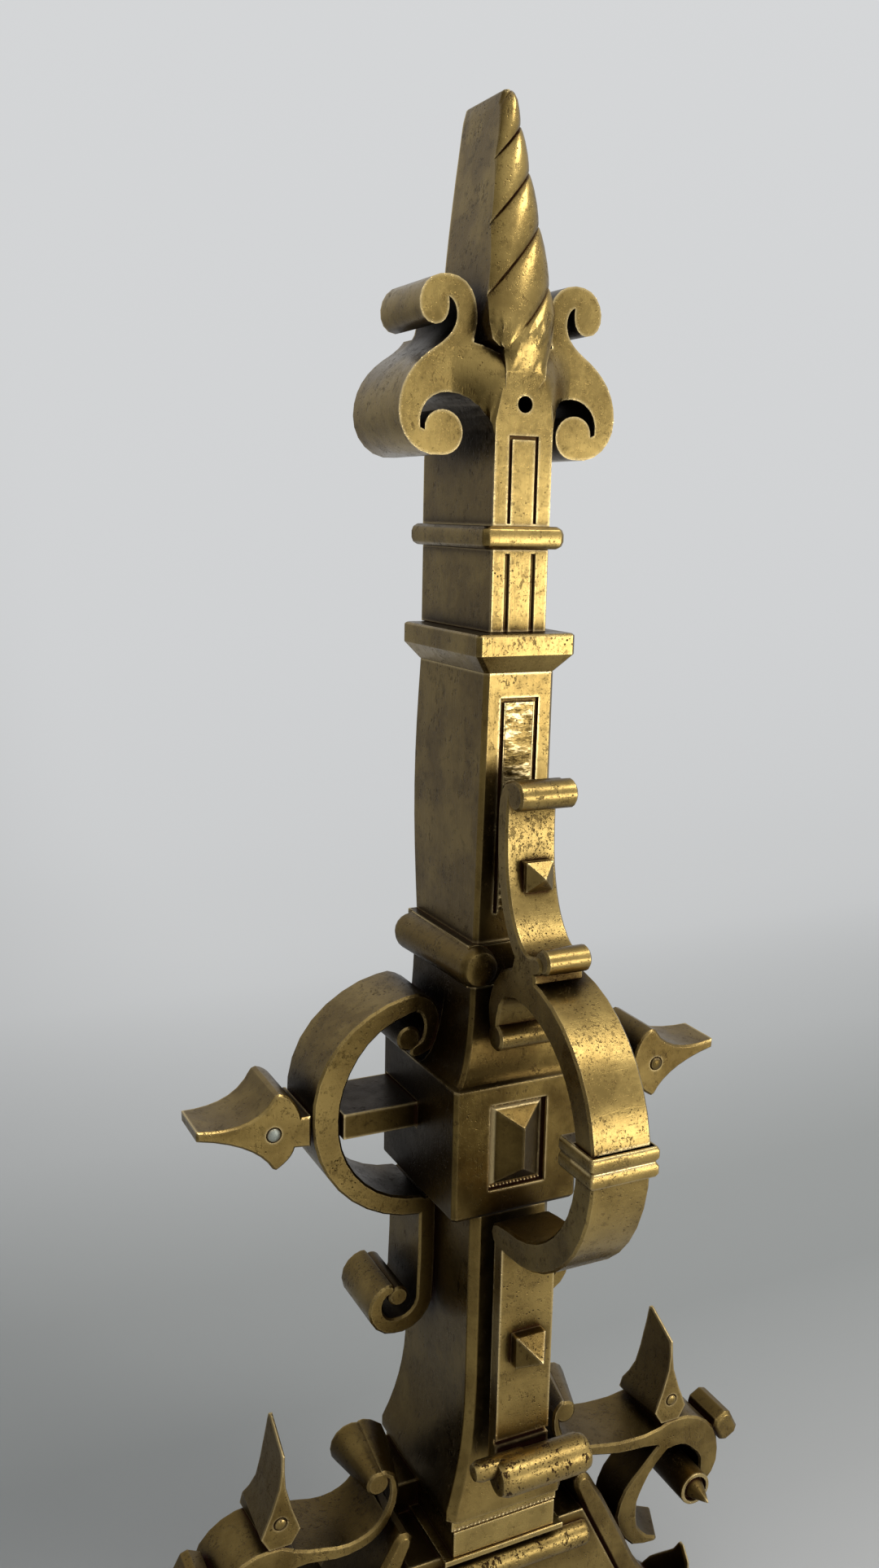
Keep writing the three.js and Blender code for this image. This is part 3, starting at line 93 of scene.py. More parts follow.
class Window(Enum):
    """Values at which an effect starts and at which it is full."""

    HIDDEN = (0.06, 0.50)
    DIRTY = (0.12, 0.55)
    DEEP = (0.42, 0.95)
    CAKED = (0.20, 0.62)
    WORN = (0.10, 0.55)
    HANDLED = (0.30, 0.70)
    FRONT_LIGHT = (0.10, 0.95)
    FRONT = (0.80, 0.95)
    SPOTTED = (0.52, 0.72)
    MARKED = (0.56, 0.74)
    SCRATCHED = (0.60, 0.66)
    STROKE_LIGHT = (0.50, 0.66)
    STROKE_DARK = (0.46, 0.34)
    CELL_HEART = (0.30, 0.12)
    GATE = (0.42, 0.58)
    POCK = (0.56, 0.61)
    SPECKLE = (0.60, 0.68)
    SPECKLE_BED = (0.40, 0.62)


class Map:
    """A shader value; Python's operators on it add Math nodes."""

    def __init__(self, graph: "Graph", socket: bpy.types.NodeSocket) -> None:
        """Wraps an output socket of a graph."""
        self.graph = graph
        self.socket = socket

    def __add__(self, other: "Number") -> "Map":
        """Adds."""
        return self.graph.math("ADD", self, other)

    __radd__ = __add__

    def __sub__(self, other: "Number") -> "Map":
        """Subtracts."""
        return self.graph.math("SUBTRACT", self, other)

    def __rsub__(self, other: "Number") -> "Map":
        """Subtracts from a number."""
        return self.graph.math("SUBTRACT", other, self)

    def __mul__(self, other: "Number") -> "Map":
        """Multiplies."""
        return self.graph.math("MULTIPLY", self, other)

    __rmul__ = __mul__

    def clamped(self) -> "Map":
        """Keeps the value between 0 and 1."""
        return self.graph.math("ADD", self, 0.0, clamp=True)

    def between(self, low: float, high: float) -> "Map":
        """Runs smoothly from 0 at one value to 1 at another.

        Args:
            low: Value that gives 0.
            high: Value that gives 1; it may be the smaller one.

        Returns:
            The smooth step.
        """
        settings = {"interpolation_type": "SMOOTHSTEP"}
        return self.graph.add(
            "ShaderNodeMapRange", settings, {"Value": self, "From Min": low, "From Max": high}
        )

    def within(self, window: Window) -> "Map":
        """Runs smoothly from 0 to 1 over a named window."""
        return self.between(*window.value)


Number = Union[Map, float]


class Graph:
    """The node tree of one material or world."""

    MIX_FACTOR, MIX_FIRST, MIX_SECOND, MIX_COLOUR = 0, 6, 7, 2
    OCCLUSION_SAMPLES = 6

    def __init__(self, tree: bpy.types.NodeTree) -> None:
        """Empties a tree and keeps it."""
        self.tree = tree
        tree.nodes.clear()

    def node(
        self,
        kind: str,
        settings: dict[str, Any] | None = None,
        inputs: dict[Any, Any] | None = None,
    ) -> bpy.types.Node:
        """Makes a node, sets it, then fills its sockets.

        Args:
            kind: Node type.
            settings: Properties of the node, and "stops" for a ramp.
            inputs: Values or links by socket name or number.

        Returns:
            The node.
        """
        made = self.tree.nodes.new(kind)
        for name, value in (settings or {}).items():
            if name == "stops":
                self._ramp(made.color_ramp, value)
            else:
                setattr(made, name, value)
        for key, value in (inputs or {}).items():
            socket = made.inputs[key]
            source = value.socket if isinstance(value, Map) else value
            if isinstance(source, bpy.types.NodeSocket):
                self.tree.links.new(source, socket)
            else:
                socket.default_value = source
        return made

    @staticmethod
    def _ramp(ramp: bpy.types.ColorRamp, stops: Sequence[tuple[float, Colour]]) -> None:
        """Writes a colour ramp's stops.

        Args:
            ramp: The ramp.
            stops: Position and colour of each stop.
        """
        while len(ramp.elements) < len(stops):
            ramp.elements.new(1.0)
        for element, (place, colour) in zip(ramp.elements, stops):
            element.position = place
            element.color = (*colour, 1.0)

    def add(
        self,
        kind: str,
        settings: dict[str, Any] | None = None,
        inputs: dict[Any, Any] | None = None,
        output: int | str = 0,
    ) -> Map:
        """Makes a node and returns one of its outputs as a value.

        Args:
            kind: Node type.
            settings: Properties of the node, and "stops" for a ramp.
            inputs: Values or links by socket name or number.
            output: Name or number of the output.

        Returns:
            The output.
        """
        return Map(self, self.node(kind, settings, inputs).outputs[output])

    def math(self, operation: str, first: Number, second: Number, clamp: bool = False) -> Map:
        """Makes a Math node of two values.

        Args:
            operation: Operation of the node.
            first: First value.
            second: Second value.
            clamp: Whether the result stays between 0 and 1.

        Returns:
            The result.
        """
        settings = {"operation": operation, "use_clamp": clamp}
        return self.add("ShaderNodeMath", settings, {0: first, 1: second})

    def mix(self, factor: Number, first: Map | Colour, second: Map | Colour) -> Map:
        """Mixes two colours.

        Args:
            factor: Share of the second.
            first: Colour at 0.
            second: Colour at 1.

        Returns:
            The mixed colour.
        """
        settings = {"data_type": "RGBA", "blend_type": "MIX", "clamp_factor": True}
        fill = {
            self.MIX_FACTOR: factor,
            self.MIX_FIRST: (*first, 1.0) if isinstance(first, tuple) else first,
            self.MIX_SECOND: (*second, 1.0) if isinstance(second, tuple) else second,
        }
        return self.add("ShaderNodeMix", settings, fill, output=self.MIX_COLOUR)

    def noise(self, vector: Map, pattern: Pattern) -> Map:
        """Makes soft noise on a vector.

        Args:
            vector: Coordinates in metres.
            pattern: Scale, detail and roughness of the noise.

        Returns:
            The noise, around 0.5.
        """
        scale, detail, rough = pattern.value
        fill = {"Vector": vector, "Scale": scale, "Detail": detail, "Roughness": rough}
        return self.add("ShaderNodeTexNoise", None, fill)

    def shut_in(self, reach: float, inside: bool = False) -> Map:
        """Tells how shut in a point is, by ambient occlusion.

        Args:
            reach: Distance within which other surfaces count.
            inside: Whether the metal under the surface is searched, which finds arrises.

        Returns:
            0 where the point is open, up to 1 where it is shut in.
        """
        settings = {"samples": self.OCCLUSION_SAMPLES, "inside": inside}
        fill = {"Distance": reach}
        return 1 - self.add("ShaderNodeAmbientOcclusion", settings, fill, output="AO")

    def axes(self, vector: Map) -> tuple[Map, Map, Map]:
        """Splits a vector into its three numbers."""
        split = self.node("ShaderNodeSeparateXYZ", None, {"Vector": vector})
        return tuple(Map(self, split.outputs[k]) for k in range(3))

    def along(self, vector: Map, direction: Sequence[float]) -> Map:
        """Measures a vector along a direction."""
        fill = {0: vector, 1: direction}
        return self.add("ShaderNodeVectorMath", {"operation": "DOT_PRODUCT"}, fill, output="Value")

    def stretched(
        self, vector: Map, stretch: Sequence[float], turn: Sequence[float] = (0, 0, 0)
    ) -> Map:
        """Stretches and turns a pattern's coordinates."""
        fill = {"Vector": vector, "Scale": stretch, "Rotation": turn}
        return self.add("ShaderNodeMapping", None, fill)


# ---------------------------------------------------------------- finishes


class Grain(Enum):
    """Way in which the file marks run."""

    UPRIGHT = (1.0, 1.0, 0.07)
    ACROSS = (0.07, 1.0, 1.0)
    EVERYWHERE = (0.6, 0.6, 0.6)


@dataclass(frozen=True)
class Patina:
    """Shares with which each cause colours the brass; some are painted light and shade."""

    dirt_near: float = 0.8
    dirt_from_shade_and_tarnish: float = 0.95
    dirt_cloud: float = 0.5
    wear_plain: float = 0.55
    wear_mottle: float = 0.9
    handled_cloud: float = 0.55
    handled_mottle: float = 0.3
    front_light: float = 0.3
    shade_and_tarnish_darkening: float = 0.5
    polish_middle: float = 0.75
    polish_gain: float = 1.3
    spots: float = 0.35
    marks: float = 0.55
    deep_shade: float = 0.9
    caked: float = 0.9
    pit: float = 0.92
    pit_colour: Colour = (0.028, 0.012, 0.006)
    worn: float = 0.7
    stroke_light: float = 0.75
    stroke_dark: float = 0.7


@dataclass(frozen=True)
class Gloss:
    """Amounts by which each cause dulls the brass; wear polishes it."""

    mottle: float = 0.22
    cloud: float = 0.16
    dirt_and_shade: float = 0.12
    caked: float = 0.2
    pit: float = 0.3
    wear: float = 0.10
    marks: float = 0.06


@dataclass(frozen=True)
class Relief:
    """Heights of the small relief, as shares of its depth."""

    strength: float = 0.55
    depth: float = 1.0 * MM
    stroke: float = 0.9
    cloud: float = 1.6
    mottle: float = 0.30
    marks: float = 0.05
    scratch: float = 0.05
    pit: float = 0.35


@dataclass(frozen=True)
class Pitting:
    """Where pits gather: the edges of their windows, and how far density moves each."""

    cells: float = 620.0
    patch: tuple[float, float] = (0.62, 0.78)
    patch_shift: tuple[float, float] = (0.22, 0.12)
    region: tuple[float, float] = (0.62, 0.70)
    region_shift: float = 0.12
    squash: Point = (1.0, 1.0, 0.6)
    speckle: float = 0.55


@dataclass(frozen=True)
class Surface:
    """Maps that every layer of a finish is made from."""

    place: Map
    facing: Map
    cloud: Map
    mottle: Map
    marks: Map
    scratch: Map
    near: Map
    wide: Map
    fine: Map
    arris: Map


@dataclass(frozen=True)
class Layers:
    """Layers of age on the brass and of painted shade in shut-in places, each from 0 to 1."""

    shade_and_tarnish: Map
    dirt_and_shade: Map
    wear: Map
    caked: Map
    pit: Map


PATINA = Patina()
GLOSS = Gloss()
RELIEF = Relief()
PITTING = Pitting()


@dataclass(frozen=True)
class BrassFinish:
    """One finish of the brass, from rubbed bright to dark and rough."""

    name: str
    bright: Colour = (0.50, 0.355, 0.118)
    mid: Colour = (0.158, 0.103, 0.031)
    dark: Colour = (0.032, 0.0185, 0.0045)
    # Nearly black: painted shade in the deepest hollows.
    recess_shade: Colour = (0.010, 0.004, 0.0015)
    worn: Colour = (0.85, 0.66, 0.33)
    residue: Colour = (0.060, 0.020, 0.012)
    polish: float = 0.5
    roughness: float = 0.38
    pits: float = 0.5
    sinks: float = 0.4
    grain: Grain = Grain.UPRIGHT
    grain_depth: float = 0.35
    hammer: float = 0.25
    shade: float = 1.0
    hatched: tuple[tuple[float, float], ...] = ()
    near_reach: float = 7 * MM
    wide_reach: float = 55 * MM
    fine_reach: float = 3.2 * MM
    arris_reach: float = 1.6 * MM
    scratch_turn: Point = (0.5, 0.35, 0.2)

    def build(self) -> bpy.types.Material:
        """Builds the material.

        Returns:
            A material on Object coordinates.
        """
        material = bpy.data.materials.new(self.name)
        material.use_nodes = True
        g = Graph(material.node_tree)
        on = self._surface(g)
        layers = self._layers(g, on)
        tone = self._tone(g, on, layers)
        height = self._height(on, layers)
        if self.hatched:
            area, strokes = self._hatching(g, on)
            lit = area * strokes.within(Window.STROKE_LIGHT) * PATINA.stroke_light
            tone = g.mix(lit, tone, self.worn)
            tone = g.mix(
                area * strokes.within(Window.STROKE_DARK) * PATINA.stroke_dark, tone, self.dark
            )
            height = area * strokes * RELIEF.stroke + height
        fill = {"Height": height, "Strength": RELIEF.strength, "Distance": RELIEF.depth}
        shader = g.node(
            "ShaderNodeBsdfPrincipled",
            None,
            {
                "Base Color": tone,
                "Roughness": self._gloss(on, layers),
                "Metallic": 1.0,
                "Normal": g.add("ShaderNodeBump", None, fill),
            },
        )
        g.node("ShaderNodeOutputMaterial", None, {"Surface": shader.outputs[0]})
        return material

    def _surface(self, g: Graph) -> Surface:
        """Makes the maps that the layers share.

        Args:
            g: Graph of the material.

        Returns:
            The maps.
        """
        place = g.add("ShaderNodeTexCoord", output="Object")
        grained = g.stretched(place, self.grain.value)
        crossed = g.stretched(place, self.grain.value, self.scratch_turn)
        return Surface(
            place=place,
            facing=g.along(g.add("ShaderNodeTexCoord", output="Normal"), (0.0, -1.0, 0.0)),
            cloud=g.noise(place, Pattern.CLOUD),
            mottle=g.noise(place, Pattern.MOTTLE),
            marks=g.noise(grained, Pattern.MARKS),
            scratch=g.noise(crossed, Pattern.SCRATCH),
            near=g.shut_in(self.near_reach),
            wide=g.shut_in(self.wide_reach),
            fine=g.shut_in(self.fine_reach),
            arris=g.shut_in(self.arris_reach, inside=True),
        )

    def _layers(self, g: Graph, on: Surface) -> Layers:
        """Makes the layers of dirt, wear and pits, and the painted shade of shut-in places.

        Args:
            g: Graph of the material.
            on: Maps of the surface.

        Returns:
            The layers.
        """
        p = PATINA
        # Painted shade, partly tarnish: brass that is shut in within the wide reach is darkened,
        # as where shade falls.
        shade_and_tarnish = on.wide.within(Window.HIDDEN) * self.shade
        dirt_and_shade = (
            on.near.within(Window.DIRTY) * p.dirt_near
            + shade_and_tarnish * p.dirt_from_shade_and_tarnish
            + (on.cloud - 0.5) * p.dirt_cloud
        ).clamped()
        wear = on.arris.within(Window.WORN) * (p.wear_plain + on.mottle * p.wear_mottle)
        return Layers(
            shade_and_tarnish=shade_and_tarnish,
            dirt_and_shade=dirt_and_shade,
            wear=wear.clamped(),
            caked=on.fine.within(Window.CAKED),
            pit=self._pits(g, on),
        )

    def _pits(self, g: Graph, on: Surface) -> Map:
        """Round pits, ragged pocks and fine speckle.

        Args:
            g: Graph of the material.
            on: Maps of the surface.

        Returns:
            1 in a pit, 0 on sound metal.
        """
        p = PITTING
        cell = g.add(
            "ShaderNodeTexVoronoi",
            {"feature": "F1"},
            {"Vector": on.place, "Scale": p.cells, "Randomness": 1.0},
        )
        low, high = (edge - move * self.pits for edge, move in zip(p.patch, p.patch_shift))
        patch = g.noise(on.place, Pattern.PATCH).between(low, high)
        gate = g.noise(on.place, Pattern.GATE).within(Window.GATE)
        pit = cell.within(Window.CELL_HEART) * patch * gate
        pock = g.noise(g.stretched(on.place, p.squash), Pattern.POCK).within(Window.POCK)
        low, high = (edge - p.region_shift * self.pits for edge in p.region)
        region = g.noise(on.place, Pattern.REGION).between(low, high)
        speckle = g.noise(on.place, Pattern.SPECKLE).within(Window.SPECKLE)
        speckle = speckle * on.mottle.within(Window.SPECKLE_BED)
        return (pit + pock * region * self.sinks + speckle * (p.speckle * self.pits)).clamped()

    def _tone(self, g: Graph, on: Surface, layers: Layers) -> Map:
        """Colours the brass, from the rubbed metal to the dirt, the pits and the bare arrises,
        with painted light on the fronts and painted shade in shut-in places and deep hollows.

        Args:
            g: Graph of the material.
            on: Maps of the surface.
            layers: Layers of age.

        Returns:
            The colour.
        """
        p = PATINA
        # Painted light and shade: fronts are painted lighter and shut-in places darker; the noise
        # stands for real rubbing.
        rubbing_and_light = (
            on.cloud.within(Window.HANDLED) * p.handled_cloud
            + on.mottle * p.handled_mottle
            + on.facing.within(Window.FRONT_LIGHT) * p.front_light
            - layers.shade_and_tarnish * p.shade_and_tarnish_darkening
        )
        rubbed_and_lit = (rubbing_and_light + (self.polish - p.polish_middle) * p.polish_gain).clamped()
        filed = on.marks.within(Window.MARKED) * self.grain_depth * p.marks
        tone = g.mix(rubbed_and_lit, self.mid, self.bright)
        tone = g.mix(on.mottle.within(Window.SPOTTED) * p.spots, tone, self.dark)
        tone = g.mix(filed, tone, self.dark)
        tone = g.mix(layers.dirt_and_shade, tone, self.dark)
        # Painted shade: the deepest hollows go nearly black.
        tone = g.mix(on.near.within(Window.DEEP) * p.deep_shade, tone, self.recess_shade)
        tone = g.mix(layers.caked * p.caked, tone, self.residue)
        tone = g.mix(layers.pit * p.pit, tone, p.pit_colour)
        return g.mix(layers.wear * p.worn, tone, self.worn)

    def _gloss(self, on: Surface, layers: Layers) -> Map:
        """Makes the roughness.

        Args:
            on: Maps of the surface.
            layers: Layers of age.

        Returns:
            The roughness.
        """
        return (
            self.roughness
            + (on.mottle - 0.5) * GLOSS.mottle
            + (on.cloud - 0.5) * GLOSS.cloud
            + layers.dirt_and_shade * GLOSS.dirt_and_shade
            + layers.caked * GLOSS.caked
            + layers.pit * GLOSS.pit
            - layers.wear * GLOSS.wear
            + on.marks * GLOSS.marks
        ).clamped()

    def _height(self, on: Surface, layers: Layers) -> Map:
        """Makes the small relief: hammering, file marks, scratches and pits.

        Args:
            on: Maps of the surface.
            layers: Layers of age.

        Returns:
            The height.
        """
        return (
            on.cloud * (RELIEF.cloud * self.hammer)
            + on.mottle * (RELIEF.mottle * self.hammer)
            + on.marks * (RELIEF.marks * self.grain_depth)
            - on.scratch.within(Window.SCRATCHED) * (RELIEF.scratch * self.grain_depth)
            - layers.pit * RELIEF.pit
        )

    def _hatching(
        self,
        g: Graph,
        on: Surface,
        soft: float = 0.4,
        slant: Point = (0, 0.25, 0),
        long: Point = (0.35, 1.0, 1.0),
    ) -> tuple[Map, Map]:
        """Wavy tool strokes across a field on the front.

        Args:
            g: Graph of the material.
            on: Maps of the surface.
            soft: Width of the field's soft edge, in millimetres.
            slant: Turn of the strokes.
            long: Stretch of the strokes.

        Returns:
            The field's mask and the strokes.
        """
        x, _, z = g.axes(on.place)
        (left, low), (right, high) = self.hatched
        sides = (
            (x, left, left + soft),
            (x, right, right - soft),
            (z, low, low + soft),
            (z, high, high - soft),
        )
        area = on.facing.within(Window.FRONT)
        for value, start, end in sides:
            area = area * value.between(start * MM, end * MM)
        return area, g.noise(g.stretched(on.place, long, slant), Pattern.STROKE)


RUBBED = BrassFinish("rubbed_brass", polish=0.58, roughness=0.24, pits=0.6, shade=0.85)
SMOOTHED = BrassFinish("smoothed_brass", polish=0.5, roughness=0.27, pits=0.4, shade=0.7)
# Painted light in part: the plinth and bead slab get a lighter, little-shaded copy of the brass,
# for the highlight on their fronts as well as for rubbed metal.
BRIGHT = BrassFinish("bright_brass", polish=0.84, roughness=0.24, pits=0.6, shade=0.2)
SHADED = BrassFinish(
    "shaded_brass",
    bright=(0.34, 0.235, 0.070),
    mid=(0.082, 0.052, 0.015),
    dark=(0.020, 0.011, 0.003),
    polish=0.40,
    roughness=0.30,
    pits=0.5,
)
PITTED = BrassFinish(
    "pitted_brass", polish=0.55, roughness=0.30, pits=1.5, sinks=1.0, grain_depth=0.8, shade=0.4
)
STRAPWORK = BrassFinish(
    "strapwork_brass", polish=0.56, roughness=0.27, pits=0.9, grain=Grain.ACROSS
)
AGED = BrassFinish("aged_brass", polish=0.42, roughness=0.28, pits=0.7, shade=1.0)
HATCHED = BrassFinish(
    "hatched_brass", polish=0.52, roughness=0.28, pits=0.5, hatched=((-6.4, 388.5), (6.4, 473.5))
)
ROUGH = BrassFinish(
    "rough_brass",
    polish=0.28,
    roughness=0.38,
    pits=0.95,
    grain=Grain.EVERYWHERE,
    grain_depth=0.8,
    hammer=0.5,
)
RIVET = BrassFinish(
    "rivet_metal",
    bright=(0.42, 0.45, 0.40),
    mid=(0.28, 0.30, 0.26),
    dark=(0.10, 0.10, 0.08),
    polish=0.5,
    roughness=0.42,
)
IRON = BrassFinish(
    "dark_iron",
    bright=(0.16, 0.15, 0.14),
    mid=(0.09, 0.085, 0.08),
    dark=(0.04, 0.03, 0.025),
    polish=0.4,
    roughness=0.5,
    grain=Grain.EVERYWHERE,
)


class Workshop:
    """Builds each finish once and hands it out."""

    def __init__(self) -> None:
        """Starts with no finish built."""
        self._built: dict[str, bpy.types.Material] = {}

    def finish(self, wanted: BrassFinish) -> bpy.types.Material:
        """Hands out the material of a finish.

        Args:
            wanted: The finish.

        Returns:
            Its material, built on the first call.
        """
        if wanted.name not in self._built:
            self._built[wanted.name] = wanted.build()
        return self._built[wanted.name]


# ---------------------------------------------------------------- castings


@dataclass
class Casting:
    """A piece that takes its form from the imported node, with its arrises rounded."""

    node: str
    finish: BrassFinish
    slot: str
    edge: float = 0.45 * MM
    sharp: float = 32.0
    crease: float = 50.0
    weld: float = 0.004 * MM
    flat: float = 0.35

    def dress(self, frame: dict[str, Any], workshop: Workshop) -> bpy.types.Object:
        """Makes the finished piece in place of its node.

        Args:
            frame: The loaded frame.
            workshop: Source of the finishes.

        Returns:
            The new piece.
        """
        source = frame["nodes"][self.node]
        mesh = bpy.data.meshes.new(f"{self.node}_casting")
        work = bmesh.new()
        work.from_mesh(source.data)
        self._clean(work)
        work = self.shape(work)
        self._round_edges(work)
        work.to_mesh(mesh)
        work.free()
        piece = bpy.data.objects.new(f"{self.node}_piece", mesh)
        bpy.context.scene.collection.objects.link(piece)
        # Normals weighed by face size keep flat faces flat between rounded arrises.
        piece.modifiers.new("weighted", "WEIGHTED_NORMAL").keep_sharp = True
        mesh.materials.clear()
        mesh.materials.append(workshop.finish(self.finish))
        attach(piece, "root")
        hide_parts(self.node)
        LOG.info("%s: %d faces", piece.name, len(mesh.polygons))
        return piece

    def shape(self, work: bmesh.types.BMesh) -> bmesh.types.BMesh:
        """Lets a special casting change its form before its arrises are rounded."""
        return work

    def _clean(self, work: bmesh.types.BMesh) -> None:
        """Joins doubled corners and merges the triangles of each flat face.

        Args:
            work: The casting.
        """
        bmesh.ops.remove_doubles(work, verts=work.verts, dist=self.weld)
        bmesh.ops.dissolve_degenerate(work, edges=work.edges, dist=self.weld)
        bmesh.ops.dissolve_limit(
            work,
            angle_limit=math.radians(self.flat),
            use_dissolve_boundaries=False,
            verts=work.verts,
            edges=work.edges,
        )

    def _round_edges(self, work: bmesh.types.BMesh) -> None:
        """Rounds the arrises and marks what stays sharp.

        Args:
            work: The casting.
        """
        limit = math.radians(self.sharp)
        arrises = [e for e in work.edges if e.is_manifold and e.calc_face_angle(0.0) > limit]
        if self.edge > 0 and arrises:
            bmesh.ops.bevel(
                work,
                geom=arrises,
                offset=self.edge,
                offset_type="OFFSET",
                segments=2,
                profile=0.5,
                affect="EDGES",
                clamp_overlap=True,
                material=-1,
            )
        for face in work.faces:
            face.smooth = True
        crease = math.radians(self.crease)
        for edge in work.edges:
            edge.smooth = not edge.is_manifold or edge.calc_face_angle(0.0) < crease


@dataclass
class HornCasting(Casting):
    """The finial, whose horn runs out into a smooth boss above the hole."""

    boss: float = 13.6 * MM
    half: float = 13.2 * MM
    trim: tuple[tuple[float, float], ...] = (
        (560, 0), (598, 0), (606, -0.8), (612, -1.5), (622, -4.0)
    )
    cutter_front: float = -60 * MM
    blend_low: float = 584 * MM
    blend_high: float = 617 * MM
    blend_half: float = 27 * MM
    blend_back: float = 25 * MM
    blend_facing: float = -0.25
    cuts: int = 3
    passes: int = 16
    seam: float = 0.02 * MM

    def shape(self, work: bmesh.types.BMesh) -> bmesh.types.BMesh:
        """Trims what stands in front of the boss and relaxes the foot of the horn.

        Args:
            work: The finial; it is used up.

        Returns:
            The changed finial.
        """
        trimmed = self._without(work, self._cutter())
        bmesh.ops.triangulate(trimmed, faces=self._front(trimmed))
        edges = list({edge for face in self._front(trimmed) for edge in face.edges})
        bmesh.ops.subdivide_edges(trimmed, edges=edges, cuts=self.cuts, use_grid_fill=True)
        front = set(self._front(trimmed))
        free = [v for v in trimmed.verts if v.link_faces and front.issuperset(v.link_faces)]
        for _ in range(self.passes):
            bmesh.ops.smooth_vert(
                trimmed, verts=free, factor=0.5, use_axis_x=True, use_axis_y=True, use_axis_z=True
            )
        return trimmed

    def _front(self, work: bmesh.types.BMesh) -> list[bmesh.types.BMFace]:
        """Faces on the front of the horn's foot."""
        return [face for face in work.faces if self._in_blend(face)]

    def _in_blend(self, face: bmesh.types.BMFace) -> bool:
        """Tells whether a face belongs to the front of the horn's foot."""
        centre = face.calc_center_median()
        return (
            self.blend_low < centre.z < self.blend_high
            and abs(centre.x) < self.blend_half
            and face.normal.y < self.blend_facing
            and centre.y < self.blend_back
        )

    def _cutter(self) -> bpy.types.Mesh:
        """Makes the body in front of the boss.

        Returns:
            A closed mesh.
        """
        cutter = bmesh.new()
        line = [(z * MM, self.boss + y * MM) for z, y in self.trim]
        outline = [(self.cutter_front, line[-1][0]), (self.cutter_front, line[0][0])]
        outline += [(y, z) for z, y in line]
        face = cutter.faces.new([cutter.verts.new((-self.half, y, z)) for y, z in outline])
        pushed = bmesh.ops.extrude_face_region(cutter, geom=[face])
        moved = [v for v in pushed["geom"] if isinstance(v, bmesh.types.BMVert)]
        bmesh.ops.translate(cutter, verts=moved, vec=(2 * self.half, 0, 0))
        bmesh.ops.recalc_face_normals(cutter, faces=cutter.faces)
        mesh = bpy.data.meshes.new("boss_cutter")
        cutter.to_mesh(mesh)
        cutter.free()
        return mesh

    def _without(self, work: bmesh.types.BMesh, cutter: bpy.types.Mesh) -> bmesh.types.BMesh:
        """Cuts one closed body out of another.

        Args:
            work: Body that is cut; it is used up.
            cutter: Body that is taken away; it is used up.

        Returns:
            What is left.
        """
        body = bpy.data.meshes.new("horn_body")
        work.to_mesh(body)
        work.free()
        bodies = [bpy.data.objects.new(mesh.name, mesh) for mesh in (body, cutter)]
        for made in bodies:
            bpy.context.scene.collection.objects.link(made)
        cut = bodies[0].modifiers.new("cut", "BOOLEAN")
        cut.operation, cut.solver, cut.object = "DIFFERENCE", "EXACT", bodies[1]
        result = bmesh.new()
        result.from_object(bodies[0], bpy.context.evaluated_depsgraph_get())
        for made in bodies:
            bpy.data.objects.remove(made)
        for mesh in (body, cutter):
            bpy.data.meshes.remove(mesh)
        bmesh.ops.remove_doubles(result, verts=result.verts, dist=self.seam)
        return result


@dataclass
class JewelCasting(Casting):
    """The jewel, a hipped boss that fills its sunk panel."""

    grow_x: float = 1.24
    grow_z: float = 1.13
    ridge: float = 1.3
    crest: float = 1.0 * MM

    def shape(self, work: bmesh.types.BMesh) -> bmesh.types.BMesh:
        """Widens the jewel to its panel and draws out its ridge.

        Args:
            work: The jewel.

        Returns:
            The same jewel.
        """
        low = Vector([min(v.co[k] for v in work.verts) for k in range(3)])
        high = Vector([max(v.co[k] for v in work.verts) for k in range(3)])
        middle = (low + high) / 2
        for vert in work.verts:
            drawn = self.ridge if vert.co.y < low.y + self.crest else 1.0
            vert.co.x = middle.x + (vert.co.x - middle.x) * self.grow_x
            vert.co.z = middle.z + (vert.co.z - middle.z) * self.grow_z * drawn
        return work


@dataclass(frozen=True)
class BeadRow:
    """A row of small punched beads along X, each a little off in size and height."""

    name: str
    half: float
    y: float
    z: float
    pitch: float = 1.9 * MM
    radius: float = 0.72 * MM
    swell: float = 0.18
    swell_waves: tuple[float, float] = (5.1, 2.3)
    sway: float = 0.12 * MM
    sway_wave: float = 3.7

    def build(self, workshop: Workshop) -> bpy.types.Object:
        """Makes the row as one piece.

        Args:
            workshop: Source of the finishes.

        Returns:
            The row.
        """
        work = bmesh.new()
        count = int(2 * self.half / self.pitch)
        sine, cosine = self.swell_waves
        for k in range(count + 1):
            size = 1.0 + self.swell * math.sin(sine * k) * math.cos(cosine * k + 1.0)
            across = -self.half + 2 * self.half * k / count
            place = (across, self.y, self.z + self.sway * math.sin(self.sway_wave * k))
            bmesh.ops.create_icosphere(
                work, subdivisions=2, radius=self.radius * size, matrix=Matrix.Translation(place)
            )
        for face in work.faces:
            face.smooth = True
        mesh = bpy.data.meshes.new(self.name)
        work.to_mesh(mesh)
        work.free()
        piece = bpy.data.objects.new(self.name, mesh)
        bpy.context.scene.collection.objects.link(piece)
        mesh.materials.append(workshop.finish(RUBBED))
        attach(piece, "root")
        LOG.info("%s: %d beads", piece.name, count + 1)
        return piece


@dataclass(frozen=True)
class PanelBeads:
    """Size and place of the small rows above and below the jewel's panel."""

    half: float = 11.6 * MM
    y: float = 2.6 * MM
    pitch: float = 1.6 * MM
    radius: float = 0.55 * MM

    def row(self, name: str, z: float) -> BeadRow:
        """Makes one of the rows at a height."""
        return BeadRow(name, self.half, self.y, z, self.pitch, self.radius)


PANEL_BEADS = PanelBeads()
BEAD_ROWS = (
    BeadRow("bead_row_slab", half=24.6 * MM, y=0.75 * MM, z=115.0 * MM),
    PANEL_BEADS.row("bead_row_panel_top", 308.2 * MM),
    PANEL_BEADS.row("bead_row_panel_foot", 272.3 * MM),
)


